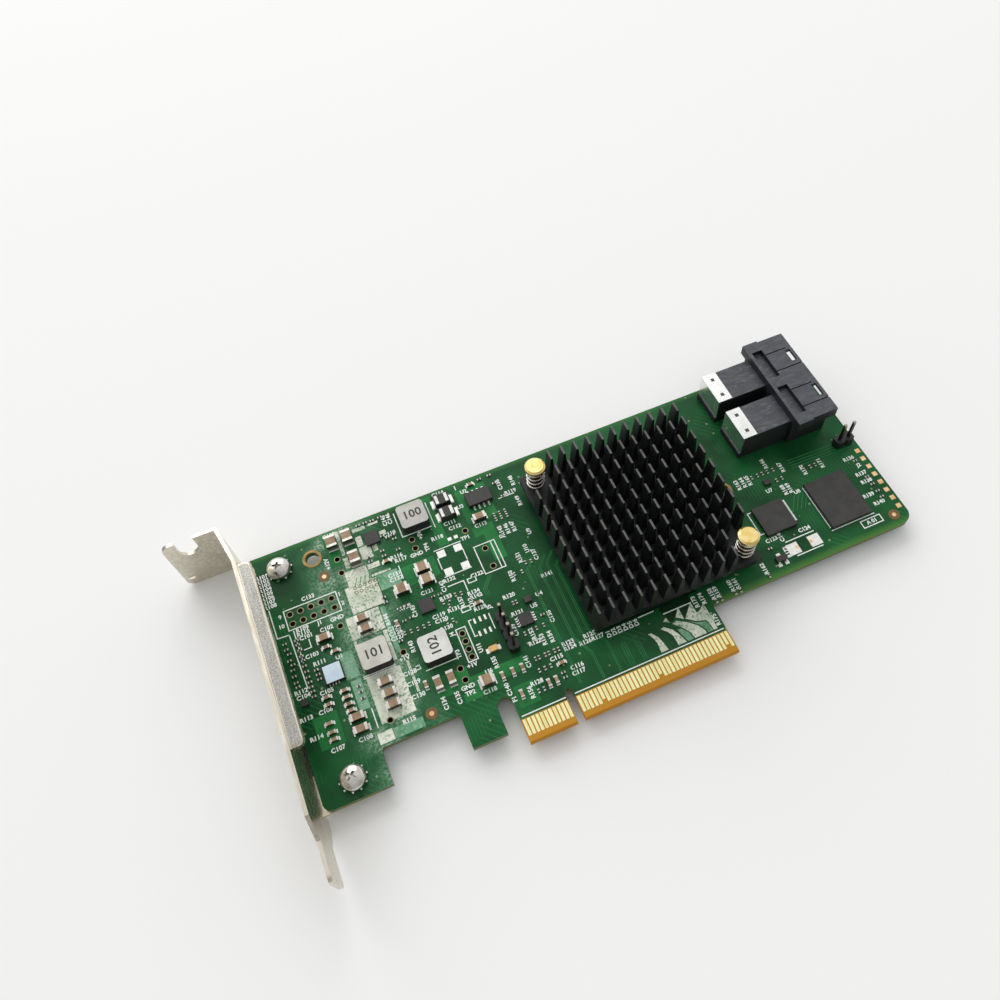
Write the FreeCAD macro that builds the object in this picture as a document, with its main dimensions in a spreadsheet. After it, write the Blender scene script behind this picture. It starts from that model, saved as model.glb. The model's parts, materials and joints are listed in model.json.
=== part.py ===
import FreeCAD
import Part
import Sketcher
import os
import re

# Low-profile host bus adapter card.
# Origin: key slot centre line, at the lower edge of the contact tab, on the component face.
# +X runs along the card away from the bracket, +Y up the card, +Z out of the component face.

SIZES = {
    # circuit board, places measured from its bracket edge and from the lower edge of the contact tab
    "board_length": 152.0,
    "board_height": 68.9,
    "board_thick": 1.57,
    "key_place": 57.15,
    "key_width": 1.9,
    "key_depth": 8.0,
    "tab_left": 45.0,
    "tab_right": 96.3,
    "lower_edge": 12.35,
    "ear_width": 15.05,
    "ear_bottom": 4.1,
    "guide_left": 33.25,
    "guide_right": 41.35,
    "relief_top": 12.0,
    "board_round": 3.0,
    "ear_round": 2.0,
    "inner_round": 0.8,
    "contact_bevel": 0.4,
    "round_trim": 0.01,
    "overcut": 1.0,
    # edge contacts
    "contact_pitch": 1.0,
    "contact_width": 0.7,
    "contact_low": 1.7,
    "contact_high": 5.5,
    "contact_short": 0.8,
    "contact_thick": 0.05,
    "key_gap": 1.5,
    "contacts_before_key": 11,
    "contacts_after_key": 38,
    # drilled holes
    "tooling_hole": 3.3,
    "lead_hole": 1.0,
    "header_pitch": 2.54,
    # bracket
    "sheet_thick": 0.86,
    "bend_inner": 0.5,
    "bracket_gap": 0.5,
    "bracket_low": 4.2,
    "bracket_width": 18.4,
    "bracket_top": 72.0,
    "shoulder_place": 1.2,
    "tail_start": -3.2,
    "tail_end": -11.5,
    "tail_width": 10.2,
    "tail_round": 1.6,
    "top_tab_length": 14.3,
    "top_tab_round": 2.0,
    "notch_place": 9.0,
    "notch_width": 4.42,
    "notch_depth": 6.0,
    "crank_start": 61.6,
    "crank_out": 2.0,
    "tab_slot_place": 12.85,
    "tab_slot_level": 2.7,
    "tab_slot_length": 1.7,
    "tab_slot_width": 0.8,
    "lip_low": 15.0,
    "lip_high": 60.5,
    "lip_reach": 2.6,
    "lip_skirt": 2.0,
    "lip_round": 1.5,
    "rim_round": 0.66,
    "groove_width": 0.3,
    "groove_depth": 0.4,
    "vent_pitch": 3.3,
    "vent_rows": 11,
    "vent_width": 1.7,
    "vent_length": 2.4,
    "vent_low": 20.0,
    "vent_column": 3.3,
    "vent_height": 3.4,
    # bracket screws and lock washers
    "upper_screw_along": 6.15,
    "upper_screw_up": 63.4,
    "lower_screw_along": 7.65,
    "lower_screw_up": 8.6,
    "screw_tab_width": 9.0,
    "screw_tab_margin": 4.4,
    "screw_radius": 1.45,
    "screw_clearance": 0.05,
    "screw_board_hole": 3.3,
    "screw_length": 4.0,
    "head_radius": 2.95,
    "head_height": 2.3,
    "crown_radius": 1.9,
    "crown_height": 1.0,
    "recess_width": 0.8,
    "recess_span": 3.2,
    "recess_depth": 1.1,
    "washer_radius": 2.75,
    "washer_thick": 0.5,
    "tooth_reach": 0.45,
    "tooth_root": 0.2,
    "tooth_width": 0.7,
    "tooth_count": 10,
    # heat sink, controller and thermal pad
    "sink_left": 68.05,
    "sink_front": 16.7,
    "base_thick": 2.0,
    "fin_height": 7.5,
    "fin_root": 1.9,
    "fin_tip": 0.5,
    "fin_pitch": 3.42,
    "fin_columns": 13,
    "fin_length": 2.7,
    "row_pitch": 4.58,
    "fin_rows": 10,
    "fin_inset": 0.05,
    "chip_size": 27.0,
    "chip_thick": 1.0,
    "lid_size": 24.0,
    "lid_thick": 1.2,
    "pad_thick": 0.3,
    # push pins and their springs
    "pin_inset": 3.2,
    "pin_radius": 1.2,
    "pin_hole": 3.0,
    "pin_head_radius": 2.5,
    "pin_head_thick": 1.2,
    "pin_head_flat": 2.0,
    "pin_head_fall": 0.45,
    "pin_above_base": 8.3,
    "barb_radius": 1.8,
    "barb_tip_radius": 0.9,
    "split_width": 0.6,
    "split_height": 1.2,
    "spring_radius": 2.1,
    "wire_radius": 0.24,
    "spring_turns": 4.0,
    # double port
    "port_pitch": 12.35,
    "port_middle": 56.25,
    "housing_rear": 135.75,
    "housing_length": 11.3,
    "housing_width": 27.7,
    "housing_height": 10.5,
    "flange_thick": 2.7,
    "flange_front_inset": 0.4,
    "shoulder_length": 4.1,
    "lower_width": 23.4,
    "lower_front_inset": 0.7,
    "cavity_width": 9.6,
    "cavity_low": 1.2,
    "cavity_height": 7.4,
    "cavity_depth": 9.6,
    "trough_width": 9.2,
    "trough_length": 2.9,
    "trough_depth": 1.4,
    "trough_rear_inset": 0.9,
    "latch_width": 5.8,
    "latch_line": 0.3,
    "latch_line_depth": 0.5,
    "window_length": 1.35,
    "window_width": 3.7,
    "window_front_inset": 0.85,
    "latch_roof": 0.65,
    "latch_depth": 3.4,
    "peg_radius": 0.8,
    "peg_clearance": 0.1,
    "peg_below": 3.0,
    "peg_front_inset": 4.6,
    "peg_side_inset": 0.3,
    # contact wafer blocks and rear clips
    "wafer_rear": 122.52,
    "wafer_width": 9.1,
    "wafer_height": 8.2,
    "foot_length": 0.5,
    "foot_height": 2.0,
    "nose_length": 7.4,
    "nose_width": 7.8,
    "nose_low": 2.7,
    "nose_height": 4.6,
    "nose_clearance": 0.1,
    "slot_height": 0.9,
    "slot_width": 7.0,
    "slot_depth": 5.0,
    "slot_spacing": 2.2,
    "blade_width": 0.4,
    "blade_thick": 0.12,
    "blade_length": 4.2,
    "blade_setback": 0.3,
    "blade_pitch": 0.75,
    "blades_per_row": 9,
    "clip_thick": 0.25,
    "clip_length": 3.6,
    "clip_hole": 0.95,
    "clip_hole_spacing": 5.1,
    "clip_peg": 0.85,
    # pin headers
    "header_pin": 0.64,
    "header_base": 2.54,
    "header_chamfer": 0.5,
    "header_pin_top": 8.6,
    "header_pin_below": 3.0,
    "four_pin_along": 50.15,
    "four_pin_up": 25.61,
    "two_pin_from_end": 3.58,
    "two_pin_up": 38.5,
    # power inductors
    "coil_length": 6.8,
    "coil_width": 6.6,
    "coil_height": 3.0,
    "coil_round": 0.9,
    "upper_coil_along": 40.45,
    "upper_coil_up": 63.2,
    "left_coil_along": 20.65,
    "left_coil_up": 32.6,
    "right_coil_along": 33.75,
    "right_coil_up": 28.5,
    # moulded packages: centre, then body size
    "memory_along": 137.85,
    "memory_up": 24.6,
    "memory_length": 11.1,
    "memory_width": 13.3,
    "memory_height": 1.2,
    "logic_along": 121.1,
    "logic_up": 26.5,
    "logic_length": 8.2,
    "logic_width": 8.0,
    "logic_height": 1.0,
    "stage_along": 10.6,
    "stage_up": 32.8,
    "stage_length": 4.6,
    "stage_width": 4.6,
    "stage_height": 1.0,
    "upper_regulator_along": 29.25,
    "upper_regulator_up": 62.3,
    "lower_regulator_along": 35.45,
    "lower_regulator_up": 39.7,
    "regulator_length": 3.5,
    "regulator_width": 3.5,
    "regulator_height": 0.9,
    "eight_lead_along": 57.35,
    "eight_lead_up": 62.1,
    "eight_lead_length": 6.2,
    "eight_lead_width": 3.9,
    "eight_lead_height": 1.5,
    "sensor_along": 55.3,
    "sensor_up": 27.0,
    "sensor_length": 3.2,
    "sensor_width": 3.2,
    "sensor_height": 1.0,
    "upper_rectifier_along": 48.6,
    "upper_rectifier_up": 65.0,
    "lower_rectifier_along": 48.6,
    "lower_rectifier_up": 61.0,
    "rectifier_length": 3.9,
    "rectifier_width": 2.9,
    "rectifier_height": 1.9,
    "transistor_along": 116.85,
    "transistor_up": 16.1,
    "transistor_length": 2.8,
    "transistor_width": 1.4,
    "transistor_height": 1.0,
    "middle_small_along": 57.6,
    "middle_small_up": 31.4,
    "right_small_along": 124.8,
    "right_small_up": 36.0,
    "left_small_along": 2.7,
    "left_small_up": 28.7,
    "small_chip_length": 1.7,
    "small_chip_width": 1.5,
    "small_chip_height": 0.9,
    "indicator_along": 45.75,
    "indicator_up": 23.4,
    "indicator_length": 2.0,
    "indicator_width": 1.3,
    "indicator_height": 0.8,
    # bent feet of the leaded packages
    "foot_thick": 0.2,
    "foot_rise": 0.7,
    "wide_foot_pitch": 1.27,
    "wide_foot_width": 0.45,
    "wide_foot_reach": 1.0,
    "fine_foot_pitch": 0.65,
    "fine_foot_width": 0.3,
    "fine_foot_reach": 0.8,
    "transistor_foot_pitch": 1.9,
    "transistor_foot_reach": 0.5,
    "terminal_width": 2.0,
    "terminal_reach": 0.8,
    # chip capacitors: length, width and height of each body, and the metal end on it
    "large_length": 3.2,
    "large_width": 2.5,
    "large_height": 2.1,
    "medium_length": 3.2,
    "medium_width": 1.7,
    "medium_height": 1.6,
    "small_length": 1.7,
    "small_width": 0.85,
    "small_height": 0.8,
    "end_share": 0.2,
    "end_lap": 0.04,
}

# Drilled places on the board, from its bracket edge and from the lower edge of the contact tab.
TOOLING_HOLES = [(14.2, 63.2), (113.9, 38.6)]

# Parts that lie along X or along Y, as (along, up) centres.
LARGE_ALONG_X = [(37.8, 49.2), (37.8, 45.8), (31.5, 45.8), (41.6, 16.75)]
LARGE_ALONG_Y = [(19.75, 64.9), (23.75, 64.9), (23.75, 58.6)]
MEDIUM_ALONG_X = [
    (11.1, 41.8), (20.65, 42.8), (20.65, 40.0), (20.75, 26.0), (20.75, 23.1),
    (20.75, 20.3), (12.5, 20.8), (12.5, 17.9), (55.5, 56.7),
]
MEDIUM_ALONG_Y = [(31.4, 20.7), (34.5, 20.7)]
SMALL_ALONG_X = [
    (11.7, 27.9), (11.7, 26.2), (11.7, 24.5), (11.7, 22.9), (7.5, 28.0), (7.5, 26.2),
    (6.4, 22.0), (6.4, 19.9), (6.4, 18.2), (10.8, 39.5), (12.5, 37.8), (30.6, 54.8),
    (58.5, 13.9), (56.8, 66.7), (46.75, 35.4),
]
SMALL_ALONG_Y = [
    (45.2, 16.5), (47.7, 16.5), (50.0, 16.5), (28.75, 21.6), (54.05, 10.7),
    (55.85, 10.7), (27.6, 38.2), (47.5, 10.9),
]

doc = FreeCAD.newDocument("host_bus_adapter")
dims = doc.addObject("Spreadsheet::Sheet", "dims")
pieces = []


def fill_sheet():
    for row, (alias, number) in enumerate(SIZES.items(), start=1):
        dims.set(f"A{row}", alias)
        dims.set(f"B{row}", str(number))
        dims.setAlias(f"B{row}", alias)
    doc.recompute()


def value(expression):
    return float(dims.evalExpression(str(expression)))


def linked(expression):
    return re.sub(r"[a-z_]{2,}", lambda word: "dims." + word.group(0), str(expression))


def bind(item, prop, expression):
    item.setExpression(prop, linked(expression))


def along(expression):
    # a place along the board, counted from its bracket edge, in the part's own X
    return f"{expression} - key_place"


def new_body(label):
    body = doc.addObject("PartDesign::Body", label)
    body.Label = label
    pieces.append(body)
    return body


def origin_item(body, role):
    return [item for item in body.Origin.OriginFeatures if item.Role == role][0]


def sketch_on(body, plane, level):
    # a sketch on an origin plane, shifted along X, Y or Z to the given level
    sketch = body.newObject("Sketcher::SketchObject", f"{body.Name}_sketch")
    sketch.AttachmentSupport = [(origin_item(body, f"{plane}_Plane"), "")]
    sketch.MapMode = "FlatFace"
    shift = f"-({level})" if plane == "XZ" else level
    bind(sketch, "AttachmentOffset.Base.z", shift)
    return sketch


def hold(sketch, geometry, point, place):
    # fixes one point of a sketch at bound coordinates
    for kind, expression in zip(("DistanceX", "DistanceY"), place):
        number = value(expression)
        index = sketch.addConstraint(Sketcher.Constraint(kind, -1, 1, geometry, point, number))
        bind(sketch, f"Constraints[{index}]", expression)


def add_loop(sketch, points):
    corners = [FreeCAD.Vector(value(across), value(up), 0) for across, up in points]
    first = sketch.GeometryCount
    count = len(corners)
    for index, corner in enumerate(corners):
        sketch.addGeometry(Part.LineSegment(corner, corners[(index + 1) % count]))
    for index in range(count):
        following = first + (index + 1) % count
        sketch.addConstraint(Sketcher.Constraint("Coincident", first + index, 2, following, 1))
    for index, place in enumerate(points):
        hold(sketch, first + index, 1, place)


def add_circle(sketch, place, radius):
    centre = FreeCAD.Vector(value(place[0]), value(place[1]), 0)
    circle = Part.Circle(centre, FreeCAD.Vector(0, 0, 1), value(radius))
    geometry = sketch.addGeometry(circle)
    index = sketch.addConstraint(Sketcher.Constraint("Radius", geometry, value(radius)))
    bind(sketch, f"Constraints[{index}]", radius)
    hold(sketch, geometry, 3, place)


def rectangle(left, low, right, high):
    return [(left, low), (right, low), (right, high), (left, high)]


def centred(across, up, width, height):
    return rectangle(f"{across} - ({width}) / 2", f"{up} - ({height}) / 2",
                     f"{across} + ({width}) / 2", f"{up} + ({height}) / 2")


def pad(body, sketch, length, backward=False):
    feature = body.newObject("PartDesign::Pad", f"{body.Name}_pad")
    feature.Profile = sketch
    feature.Reversed = backward
    bind(feature, "Length", length)
    doc.recompute()
    return feature


def pocket(body, sketch, depth, backward=False):
    before = body.Shape.Volume
    feature = body.newObject("PartDesign::Pocket", f"{body.Name}_pocket")
    feature.Profile = sketch
    feature.Reversed = backward
    bind(feature, "Length", depth)
    doc.recompute()
    if body.Shape.Volume >= before:
        raise RuntimeError(f"{body.Label}: {feature.Name} cuts nothing")
    return feature


def revolve(body, sketch):
    feature = body.newObject("PartDesign::Revolution", f"{body.Name}_turned")
    feature.Profile = sketch
    feature.ReferenceAxis = (sketch, ["V_Axis"])
    feature.Angle = 360
    doc.recompute()
    return feature


def repeat(body, feature, axis, pitch, count):
    pattern = body.newObject("PartDesign::LinearPattern", f"{body.Name}_row")
    pattern.Originals = [feature]
    pattern.Direction = (origin_item(body, f"{axis}_Axis"), [""])
    bind(pattern, "Length", f"({pitch}) * ({count} - 1)")
    bind(pattern, "Occurrences", count)
    body.Tip = pattern
    doc.recompute()
    return pattern


def edges_at(body, axis, places):
    # names of the straight edges along one axis that pass through the given places
    others = [index for index in range(3) if index != axis]
    names = []
    for number, edge in enumerate(body.Shape.Edges, start=1):
        start = edge.Vertexes[0].Point
        end = edge.Vertexes[-1].Point
        if any(abs(start[index] - end[index]) > 1e-6 for index in others):
            continue
        for place in places:
            if all(abs(start[index] - value(place[n])) < 1e-4 for n, index in enumerate(others)):
                names.append(f"Edge{number}")
    if not names:
        raise RuntimeError(f"{body.Label}: no edge at {places}")
    return names


def round_edges(body, names, radius):
    base = body.Tip
    feature = body.newObject("PartDesign::Fillet", f"{body.Name}_round")
    feature.Base = (base, names)
    bind(feature, "Radius", radius)
    body.Tip = feature
    doc.recompute()
    return feature


def bevel_edges(body, names, size):
    base = body.Tip
    feature = body.newObject("PartDesign::Chamfer", f"{body.Name}_bevel")
    feature.Base = (base, names)
    bind(feature, "Size", size)
    body.Tip = feature
    doc.recompute()
    return feature


def place_body(body, across, up, height="0"):
    for axis, expression in zip("xyz", (across, up, height)):
        bind(body, f"Placement.Base.{axis}", expression)


def box(left, low, bottom, width, depth, height):
    return Part.makeBox(width, depth, height, FreeCAD.Vector(left, low, bottom))


def group(label, solids):
    feature = doc.addObject("Part::Feature", label)
    feature.Label = label
    feature.Shape = Part.makeCompound(solids)
    pieces.append(feature)
    return feature


def hole_places():
    # every drilled place on the board with its diameter
    holes = [(along(x), y, "tooling_hole") for x, y in TOOLING_HOLES]
    holes += [(x, y, "screw_board_hole") for x, y in SCREWS.values()]
    holes += [(x, y, "pin_hole") for x, y in PUSH_PINS.values()]
    holes += [(x, y, "lead_hole") for x, y in header_pin_places()]
    holes += [(x, y, "2 * (peg_radius + peg_clearance)") for x, y in peg_places()]
    return holes


def header_pin_places():
    four = [(along("four_pin_along"), f"four_pin_up + {step} * header_pitch")
            for step in (-1.5, -0.5, 0.5, 1.5)]
    two = [(along(f"board_length - two_pin_from_end + {step} * header_pitch"), "two_pin_up")
           for step in (-0.5, 0.5)]
    return four + two


def peg_places():
    across = along("housing_rear + housing_length - peg_front_inset")
    reach = "lower_width / 2 - peg_radius - peg_side_inset"
    return [(across, f"port_middle - ({reach})"), (across, f"port_middle + ({reach})")]


def circuit_board():
    body = new_body("circuit_board")
    relief_round = "(tab_left - guide_right) / 2 - round_trim"
    key_left = "-key_width / 2"
    key_right = "key_width / 2"
    corners = [
        (along(0), "ear_bottom"),
        (along("ear_width"), "ear_bottom"),
        (along("ear_width"), "lower_edge"),
        (along("guide_left"), "lower_edge"),
        (along("guide_left"), "ear_bottom"),
        (along("guide_right"), "ear_bottom"),
        (along("guide_right"), "relief_top"),
        (along("tab_left"), "relief_top"),
        (along("tab_left"), 0),
        (key_left, 0),
        (key_left, "key_depth"),
        (key_right, "key_depth"),
        (key_right, 0),
        (along("tab_right"), 0),
        (along("tab_right"), "lower_edge"),
        (along("board_length"), "lower_edge"),
        (along("board_length"), "board_height"),
        (along(0), "board_height"),
    ]
    outline = sketch_on(body, "XY", 0)
    add_loop(outline, corners)
    pad(body, outline, "board_thick", backward=True)
    face_edges = edges_at(body, 0, [(0, 0), (0, "-board_thick")])
    bevel_edges(body, face_edges, "contact_bevel")
    round_edges(body, edges_at(body, 2, [corners[15], corners[16]]), "board_round")
    round_edges(body, edges_at(body, 2, [corners[0]]), "ear_round")
    round_edges(body, edges_at(body, 2, [corners[2], corners[3], corners[14]]), "inner_round")
    round_edges(body, edges_at(body, 2, [corners[6], corners[7]]), relief_round)
    round_edges(body, edges_at(body, 2, [corners[10], corners[11]]), "key_width / 2 - round_trim")
    drilled = sketch_on(body, "XY", 0)
    for across, up, diameter in hole_places():
        add_circle(drilled, (across, up), f"({diameter}) / 2")
    pocket(body, drilled, "board_thick")


def edge_contacts(label, bottom):
    pitch = value("contact_pitch")
    width = value("contact_width")
    nearest = value("key_gap")
    high = value("contact_high")
    thick = value("contact_thick")
    centres = [-nearest - pitch * step for step in range(int(value("contacts_before_key")))]
    centres += [nearest + pitch * step for step in range(int(value("contacts_after_key")))]
    short_steps = (5, 19, 36)
    short_centres = [nearest + pitch * step for step in short_steps]
    solids = []
    for centre in centres:
        low = value("contact_low")
        if centre in short_centres:
            low += value("contact_short")
        solids.append(box(centre - width / 2, low, bottom, width, high - low, thick))
    group(label, solids)


def bracket():
    body = new_body("low_profile_bracket")
    inner = along("-bracket_gap")
    outer = along("-bracket_gap - sheet_thick")
    low = "-bracket_low"
    high = "bracket_width - bracket_low"
    middle = "(bracket_width / 2 - bracket_low)"
    tail_low = f"{middle} - tail_width / 2"
    tail_high = f"{middle} + tail_width / 2"

    plate = sketch_on(body, "YZ", inner)
    add_loop(plate, [
        ("crank_start", low),
        ("crank_start", high),
        ("shoulder_place", high),
        ("tail_start", tail_high),
        ("tail_end", tail_high),
        ("tail_end", tail_low),
        ("tail_start", tail_low),
        ("shoulder_place", low),
    ])
    pad(body, plate, "sheet_thick", backward=True)
    tail_corners = [("tail_end", tail_high), ("tail_end", tail_low)]
    round_edges(body, edges_at(body, 0, tail_corners), "tail_round")

    tab_end = along("-bracket_gap - sheet_thick - top_tab_length")
    tab_under = "bracket_top - sheet_thick"
    crank_top = f"{inner} - crank_out"
    crank_share = f"({tab_under} - crank_start) / (bracket_top - crank_start)"
    crank_under = f"{outer} - crank_out * {crank_share}"
    top_tab = sketch_on(body, "XY", high)
    add_loop(top_tab, [
        (inner, "crank_start"),
        (crank_top, "bracket_top"),
        (tab_end, "bracket_top"),
        (tab_end, tab_under),
        (crank_under, tab_under),
        (outer, "crank_start"),
    ])
    pad(body, top_tab, "bracket_width", backward=True)
    round_edges(body, edges_at(body, 1, [(tab_end, low), (tab_end, high)]), "top_tab_round")
    notch_middle = along("-bracket_gap - sheet_thick - notch_place")
    notch_low = f"{high} - notch_depth"
    notch = sketch_on(body, "XZ", tab_under)
    notch_left = f"{notch_middle} - notch_width / 2"
    notch_right = f"{notch_middle} + notch_width / 2"
    add_loop(notch, rectangle(notch_left, notch_low, notch_right, f"{high} + overcut"))
    pocket(body, notch, "sheet_thick")
    notch_corners = [(notch_left, notch_low), (notch_right, notch_low)]
    round_edges(body, edges_at(body, 1, notch_corners), "notch_width / 2 - round_trim")
    slot = sketch_on(body, "XZ", tab_under)
    slot_middle = f"{outer} - tab_slot_place"
    add_loop(slot, centred(slot_middle, f"{low} + tab_slot_level", "tab_slot_length", "tab_slot_width"))
    pocket(body, slot, "sheet_thick")
    round_edges(body, edges_at(body, 2, [(crank_top, "bracket_top")]), "sheet_thick + bend_inner")
    round_edges(body, edges_at(body, 2, [(crank_under, tab_under)]), "bend_inner")

    lip_end = along("lip_reach")
    lip = sketch_on(body, "XY", high)
    add_loop(lip, rectangle(inner, "lip_low", lip_end, "lip_high"))
    pad(body, lip, "lip_skirt", backward=True)
    lip_corners = [(lip_end, "lip_low"), (lip_end, "lip_high")]
    round_edges(body, edges_at(body, 2, lip_corners), "lip_round")
    hollow = sketch_on(body, "XY", f"{high} - sheet_thick")
    add_loop(hollow, rectangle(inner, "lip_low + sheet_thick",
                               f"{lip_end} - sheet_thick", "lip_high - sheet_thick"))
    pocket(body, hollow, "lip_skirt - sheet_thick")
    rim = edges_at(body, 1, [(lip_end, high)])
    round_edges(body, rim, "rim_round")
    groove = sketch_on(body, "XY", high)
    add_loop(groove, rectangle(inner, "lip_low", f"{inner} + groove_width", "lip_high"))
    pocket(body, groove, "groove_depth")

    fold = "-board_thick - sheet_thick"
    for name, (across, up) in SCREWS.items():
        relief = sketch_on(body, "YZ", inner)
        add_loop(relief, rectangle(f"{up} - screw_tab_width / 2", f"{low} - overcut",
                                   f"{up} + screw_tab_width / 2", fold))
        pocket(body, relief, "sheet_thick")
        tab = sketch_on(body, "XY", "-board_thick")
        tab_right = f"{across} + screw_tab_margin"
        tab_low = f"{up} - screw_tab_width / 2"
        tab_high = f"{up} + screw_tab_width / 2"
        add_loop(tab, rectangle(inner, tab_low, tab_right, tab_high))
        pad(body, tab, "sheet_thick", backward=True)
        tab_corners = [(tab_right, tab_low), (tab_right, tab_high)]
        round_edges(body, edges_at(body, 2, tab_corners), "top_tab_round")
        bore = sketch_on(body, "XY", "-board_thick")
        add_circle(bore, (across, up), "screw_radius + screw_clearance")
        pocket(body, bore, "sheet_thick")

    vents = sketch_on(body, "YZ", inner)
    for column in range(3):
        shift = "vent_pitch / 2" if column == 1 else "0"
        centre = f"vent_low + {shift}"
        level = f"vent_height + {column} * vent_column"
        half = "vent_length / 2"
        flat = "vent_length / 2 - vent_width / 3"
        rise = "vent_width / 2"
        add_loop(vents, [
            (f"{centre} - {half}", level),
            (f"{centre} - ({flat})", f"{level} - {rise}"),
            (f"{centre} + ({flat})", f"{level} - {rise}"),
            (f"{centre} + {half}", level),
            (f"{centre} + ({flat})", f"{level} + {rise}"),
            (f"{centre} - ({flat})", f"{level} + {rise}"),
        ])
    first_vents = pocket(body, vents, "sheet_thick")
    repeat(body, first_vents, "Y", "vent_pitch", "vent_rows")


def bracket_screw(label, across, up):
    body = new_body(label)
    seat = "washer_thick"
    top = "washer_thick + head_height"
    profile = sketch_on(body, "XZ", 0)
    add_loop(profile, [
        (0, top),
        ("crown_radius", top),
        ("head_radius", f"{top} - crown_height"),
        ("head_radius", seat),
        ("screw_radius", seat),
        ("screw_radius", f"{seat} - screw_length"),
        (0, f"{seat} - screw_length"),
    ])
    revolve(body, profile)
    recess = sketch_on(body, "XY", top)
    span = "recess_span / 2"
    wide = "recess_width / 2"
    add_loop(recess, [
        (f"-{span}", f"-{wide}"), (f"-{wide}", f"-{wide}"), (f"-{wide}", f"-{span}"),
        (wide, f"-{span}"), (wide, f"-{wide}"), (span, f"-{wide}"),
        (span, wide), (wide, wide), (wide, span),
        (f"-{wide}", span), (f"-{wide}", wide), (f"-{span}", wide),
    ])
    pocket(body, recess, "recess_depth")
    place_body(body, across, up)


def lock_washer(label, across, up):
    body = new_body(label)
    ring = sketch_on(body, "XY", 0)
    add_circle(ring, (0, 0), "washer_radius")
    add_circle(ring, (0, 0), "screw_radius + 2 * screw_clearance")
    pad(body, ring, "washer_thick")
    tooth = sketch_on(body, "XY", 0)
    reach = "washer_radius + tooth_reach"
    add_loop(tooth, [
        ("washer_radius - tooth_root", "-tooth_width / 2"),
        (reach, "-tooth_width / 4"),
        (reach, "tooth_width / 4"),
        ("washer_radius - tooth_root", "tooth_width / 2"),
    ])
    first = pad(body, tooth, "washer_thick")
    star = body.newObject("PartDesign::PolarPattern", f"{label}_star")
    star.Originals = [first]
    star.Axis = (origin_item(body, "Z_Axis"), [""])
    star.Angle = 360
    bind(star, "Occurrences", "tooth_count")
    body.Tip = star
    place_body(body, across, up)


def heat_sink():
    body = new_body("heat_sink")
    left = along("sink_left")
    right = f"{left} + {SINK_WIDTH}"
    back = f"sink_front + {SINK_DEPTH}"
    base = sketch_on(body, "XY", SINK_LOW)
    add_loop(base, rectangle(left, "sink_front", right, back))
    pad(body, base, "base_thick")

    middle = f"{left} + fin_inset + fin_root / 2"
    blade = sketch_on(body, "XZ", "sink_front")
    add_loop(blade, [
        (f"{middle} - fin_root / 2", SINK_SEAT),
        (f"{middle} + fin_root / 2", SINK_SEAT),
        (f"{middle} + fin_tip / 2", f"{SINK_SEAT} + fin_height"),
        (f"{middle} - fin_tip / 2", f"{SINK_SEAT} + fin_height"),
    ])
    first_blade = pad(body, blade, SINK_DEPTH, backward=True)
    repeat(body, first_blade, "X", "fin_pitch", "fin_columns")

    top = f"{SINK_SEAT} + fin_height"
    cut = sketch_on(body, "XY", top)
    cut_low = "sink_front + fin_length"
    add_loop(cut, rectangle(f"{left} - overcut", cut_low, f"{right} + overcut", "sink_front + row_pitch"))
    first_cut = pocket(body, cut, "fin_height")
    repeat(body, first_cut, "Y", "row_pitch", "fin_rows - 1")

    clear_width = "fin_inset + 2 * fin_pitch - (fin_pitch - fin_root) / 2"
    clear_depth = "2 * row_pitch - (row_pitch - fin_length) / 2"
    corners = sketch_on(body, "XY", top)
    add_loop(corners, rectangle(f"{left} - overcut", f"{back} - ({clear_depth})",
                                f"{left} + {clear_width}", f"{back} + overcut"))
    add_loop(corners, rectangle(f"{right} - ({clear_width})", "sink_front - overcut",
                                f"{right} + overcut", f"sink_front + {clear_depth}"))
    pocket(body, corners, "fin_height")

    bores = sketch_on(body, "XY", SINK_SEAT)
    for place in PUSH_PINS.values():
        add_circle(bores, place, "pin_hole / 2")
    pocket(body, bores, "base_thick")


def controller():
    middle = (f"{along('sink_left')} + {SINK_WIDTH} / 2", f"sink_front + {SINK_DEPTH} / 2")
    chip = new_body("controller_chip")
    carrier = sketch_on(chip, "XY", 0)
    add_loop(carrier, centred(*middle, "chip_size", "chip_size"))
    pad(chip, carrier, "chip_thick")
    lid = sketch_on(chip, "XY", "chip_thick")
    add_loop(lid, centred(*middle, "lid_size", "lid_size"))
    pad(chip, lid, "lid_thick")
    pad_body = new_body("thermal_pad")
    sheet = sketch_on(pad_body, "XY", "chip_thick + lid_thick")
    add_loop(sheet, centred(*middle, "lid_size", "lid_size"))
    pad(pad_body, sheet, "pad_thick")


def push_pin(label, across, up):
    body = new_body(label)
    top = f"{SINK_SEAT} + pin_above_base"
    under = f"{top} - pin_head_thick"
    end = "-bracket_low"
    profile = sketch_on(body, "XZ", 0)
    add_loop(profile, [
        (0, top),
        ("pin_head_flat", top),
        ("pin_head_radius", f"{top} - pin_head_fall"),
        ("pin_head_radius", under),
        ("pin_radius", under),
        ("pin_radius", "-board_thick"),
        ("barb_radius", "-board_thick"),
        ("barb_tip_radius", end),
        (0, end),
    ])
    revolve(body, profile)
    split = sketch_on(body, "XZ", "-barb_radius - overcut")
    add_loop(split, rectangle("-split_width / 2", f"{end} - overcut", "split_width / 2", "-split_height"))
    pocket(body, split, "2 * (barb_radius + overcut)")
    place_body(body, across, up)


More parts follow.
